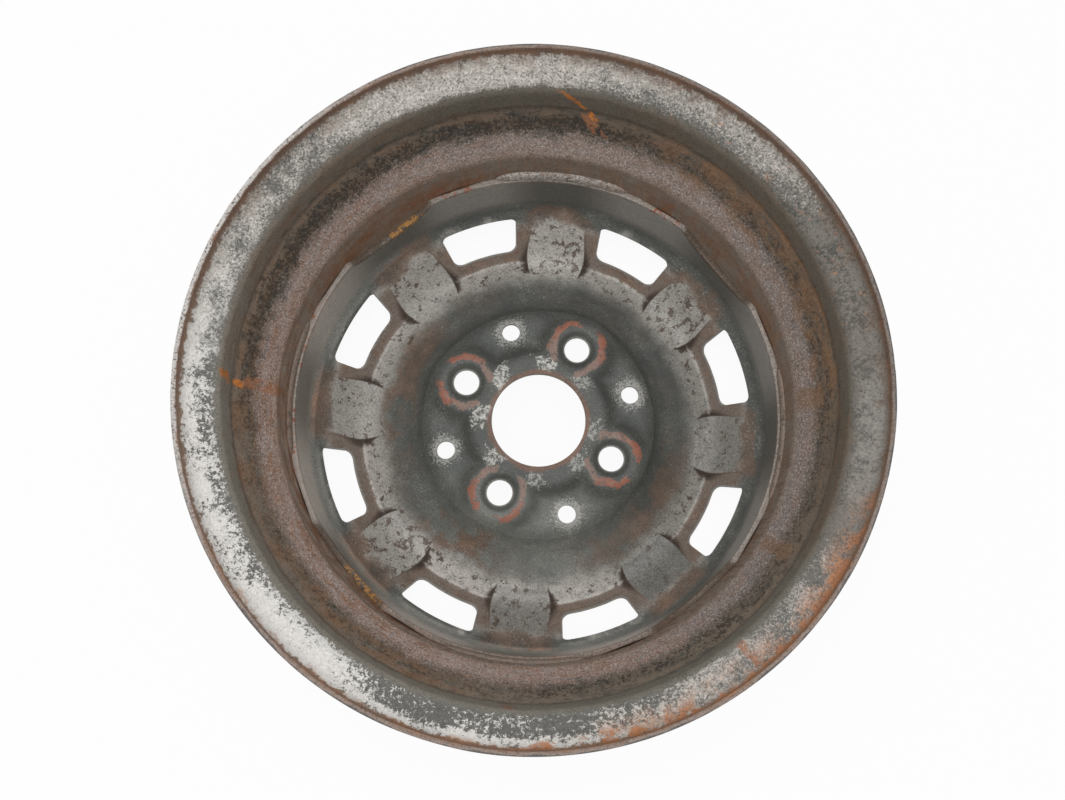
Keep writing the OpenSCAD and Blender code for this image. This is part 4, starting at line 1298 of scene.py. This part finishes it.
    # primer shows in two arcs beside each bolt hole, faded towards the bore
    wobbleTurn, wobbleOut = f.primerWobble
    wobble = minus(kit.cloud(place, *f.primerCloud), 0.5)
    around = plus(kit.mask("boltSide"), times(wobble, wobbleTurn))
    out = plus(boltGap, plus(times(wobble, wobbleOut), span(around, *f.primerTaper)))
    arcs = times(band(out, *f.primerBelt), band(around, *f.primerTurn), span(salt["Clump"], *f.primerGrain))
    faded = plus(around, times(minus(salt["Clump"], 0.5), f.primerFadeGrain))
    primer = blend(span(faded, *f.primerFade), hue.primer, hue.oldPrimer)
    paint(times(arcs, f.primerAmount), primer)
    # painted shade in the recess round each bolt hole
    paint(times(band(boltGap, *f.recess), f.recessAmount), hue.dark)
    paint(fade(boltGap, *f.boltEdge, f.boltEdgeAmount), hue.halo)
    paint(f.saltShare, salt["Shade"], "MULTIPLY")

    # outboard face: dull silver paint with rust coming through
    back = blend(kit.use(flakes, **f.back)["Mask"], rust["Color"], hue.worn)
    paint(kit.mask("outboard"), blend(f.backSalt, back, salt["Shade"], "MULTIPLY"))
    kit.plug(shader.inputs["Base Color"], colour)
    rough = kit.mixValue(rubbed, kit.mixValue(salt["Clump"], *f.coatRough), f.wornRough)
    kit.plug(shader.inputs["Roughness"], rough)
    shader.inputs["Specular IOR Level"].default_value = f.specular
    relief = minus(times(salt["Fine"], 0.4), times(pitShare, 0.4))
    bumpFrom(kit, shader, relief, f.bumpDepth, f.bumpStrength)
    return material


# weld finish
weldFinish = settings(
    tones=dict(metal=(196, 190, 183), brown=(150, 132, 119), crease=(124, 113, 104), slag=(84, 74, 66)),
    paleArc=(90, 20, 6), grainLevel=(0.36, 0.6), rustLevel=(0.48, 0.64, 0.0, 0.6), slagAmount=0.7,
    slag=dict(Cover=0.3, Size=160.0, Speck=500.0, Ragged=0.08),
    rough=(0.45, 0.7), bumpDepth=0.0008, bumpStrength=0.5,
)


def makeWeldSteel(f):
    material, kit, shader = newFinish("weldSteel")
    hue = tones(f.tones)
    patch, _ = arcTools(kit, kit.use(wheelPlace)["Angle"])
    rust = kit.use(rustMottle, Patch=90.0, Orange=0.2)
    speckle = kit.use(grain, Size=800.0, Contrast=1.4)["Fine"]
    slag = kit.use(flakes, **f.slag)["Mask"]
    metal = kit.blend(patch(*f.paleArc), hue.brown, hue.metal)
    colour = kit.blend(kit.span(speckle, *f.grainLevel), hue.crease, metal)
    colour = kit.blend(kit.span(rust["Mottle"], *f.rustLevel), colour, rust["Color"])
    colour = kit.blend(kit.times(slag, f.slagAmount), colour, hue.slag)
    kit.plug(shader.inputs["Base Color"], colour)
    kit.plug(shader.inputs["Roughness"], kit.mixValue(speckle, *f.rough))
    bumpFrom(kit, shader, kit.minus(speckle, kit.times(slag, 0.5)), f.bumpDepth, f.bumpStrength)
    return material


foldR = pressedSheet(discShape).cornerR
dressed = (
    (rim, "rim", "rim_steel", makeRimSteel(rimFinish)),
    (disc, "disc", "disc_steel", makeDiscSteel(discFinish, foldR, discShape.boreR)),
    (beads, "weld_beads", "weld_steel", makeWeldSteel(weldFinish)),
)
for piece, node, slotName, material in dressed:
    piece.data.materials.clear()
    piece.data.materials.append(material)
    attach(piece, "root")
    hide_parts(node)
print("finishes set")


# floor, light and camera
stageSet = settings(
    floorSize=6.0, floorZ=-0.0442, floor=(0.86, 0.86, 0.86, 1), floorRough=0.9, white=0.94,
    worldLevel=0.5, lampPlace=(-0.1, -0.02, 1.6), lampAim=(0, 0, 0.03), lampSize=1.0, lampWatts=14,
)


def buildFloor(s):
    h, z = s.floorSize / 2, s.floorZ
    floor = addMesh("floor", [(-h, -h, z), (h, -h, z), (h, h, z), (-h, h, z)], [(0, 1, 2, 3)])
    material, kit, shader = newFinish("paleFloor")
    shader.inputs["Base Color"].default_value = s.floor
    shader.inputs["Roughness"].default_value = s.floorRough
    glow = kit.add("ShaderNodeEmission")
    rays = kit.add("ShaderNodeLightPath").outputs
    seen = kit.most(*[rays[kind] for kind in ("Is Camera Ray", "Is Glossy Ray", "Is Transmission Ray")])
    mixed = kit.add("ShaderNodeMixShader")
    lit = kit.plugAll(mixed, (kit.times(seen, s.white), shader.outputs[0], glow.outputs[0]))
    kit.plug(kit.tree.nodes["Material Output"].inputs["Surface"], lit)
    floor.data.materials.append(material)


def buildSky(s):
    world = bpy.data.worlds.new("studio")
    scene.world = world
    world.use_nodes = True
    kit = nodeKit(world.node_tree)
    sky = kit.tree.nodes["Background"]
    sky.inputs["Color"].default_value = (1, 1, 1, 1)
    seen = kit.add("ShaderNodeLightPath").outputs["Is Camera Ray"]
    kit.plug(sky.inputs["Strength"], kit.mixValue(seen, s.worldLevel, 1.0))


def buildLamp(s):
    lamp = bpy.data.lights.new("softTop", "AREA")
    lamp.shape, lamp.size, lamp.energy = "DISK", s.lampSize, s.lampWatts
    obj = bpy.data.objects.new("softTop", lamp)
    scene.collection.objects.link(obj)
    obj.location = s.lampPlace
    obj.rotation_euler = (Vector(s.lampAim) - Vector(s.lampPlace)).to_track_quat("-Z", "Y").to_euler()


for build in (buildFloor, buildSky, buildLamp):
    build(stageSet)

# camera above the inboard side, its place in mm and its own right and down directions
cameraSet = settings(
    place=(-2.412, -109.709, 670.055), right=(0.998637, 0.0, 0.052187), down=(0.008524, -0.986574, -0.163104),
    roll=5.1696, sensor=36.0, lens=37.707, shiftX=-0.0561, shiftY=0.0170, clipStart=0.01,
)


def buildCamera(s):
    data = bpy.data.cameras.new("camera")
    cam = bpy.data.objects.new("camera", data)
    scene.collection.objects.link(cam)
    right, up = Vector(s.right), -Vector(s.down)
    axes = Matrix((right, up, right.cross(up))).transposed().to_4x4()
    seenFrom = Matrix.Translation(Vector(s.place) * mm) @ axes
    cam.matrix_world = Matrix.Rotation(math.radians(s.roll), 4, "Z") @ seenFrom
    data.sensor_width, data.lens = s.sensor, s.lens
    data.shift_x, data.shift_y = s.shiftX, s.shiftY
    data.clip_start = s.clipStart
    scene.camera = cam


buildCamera(cameraSet)
scene.view_settings.view_transform = "Standard"
print("stage and camera set")
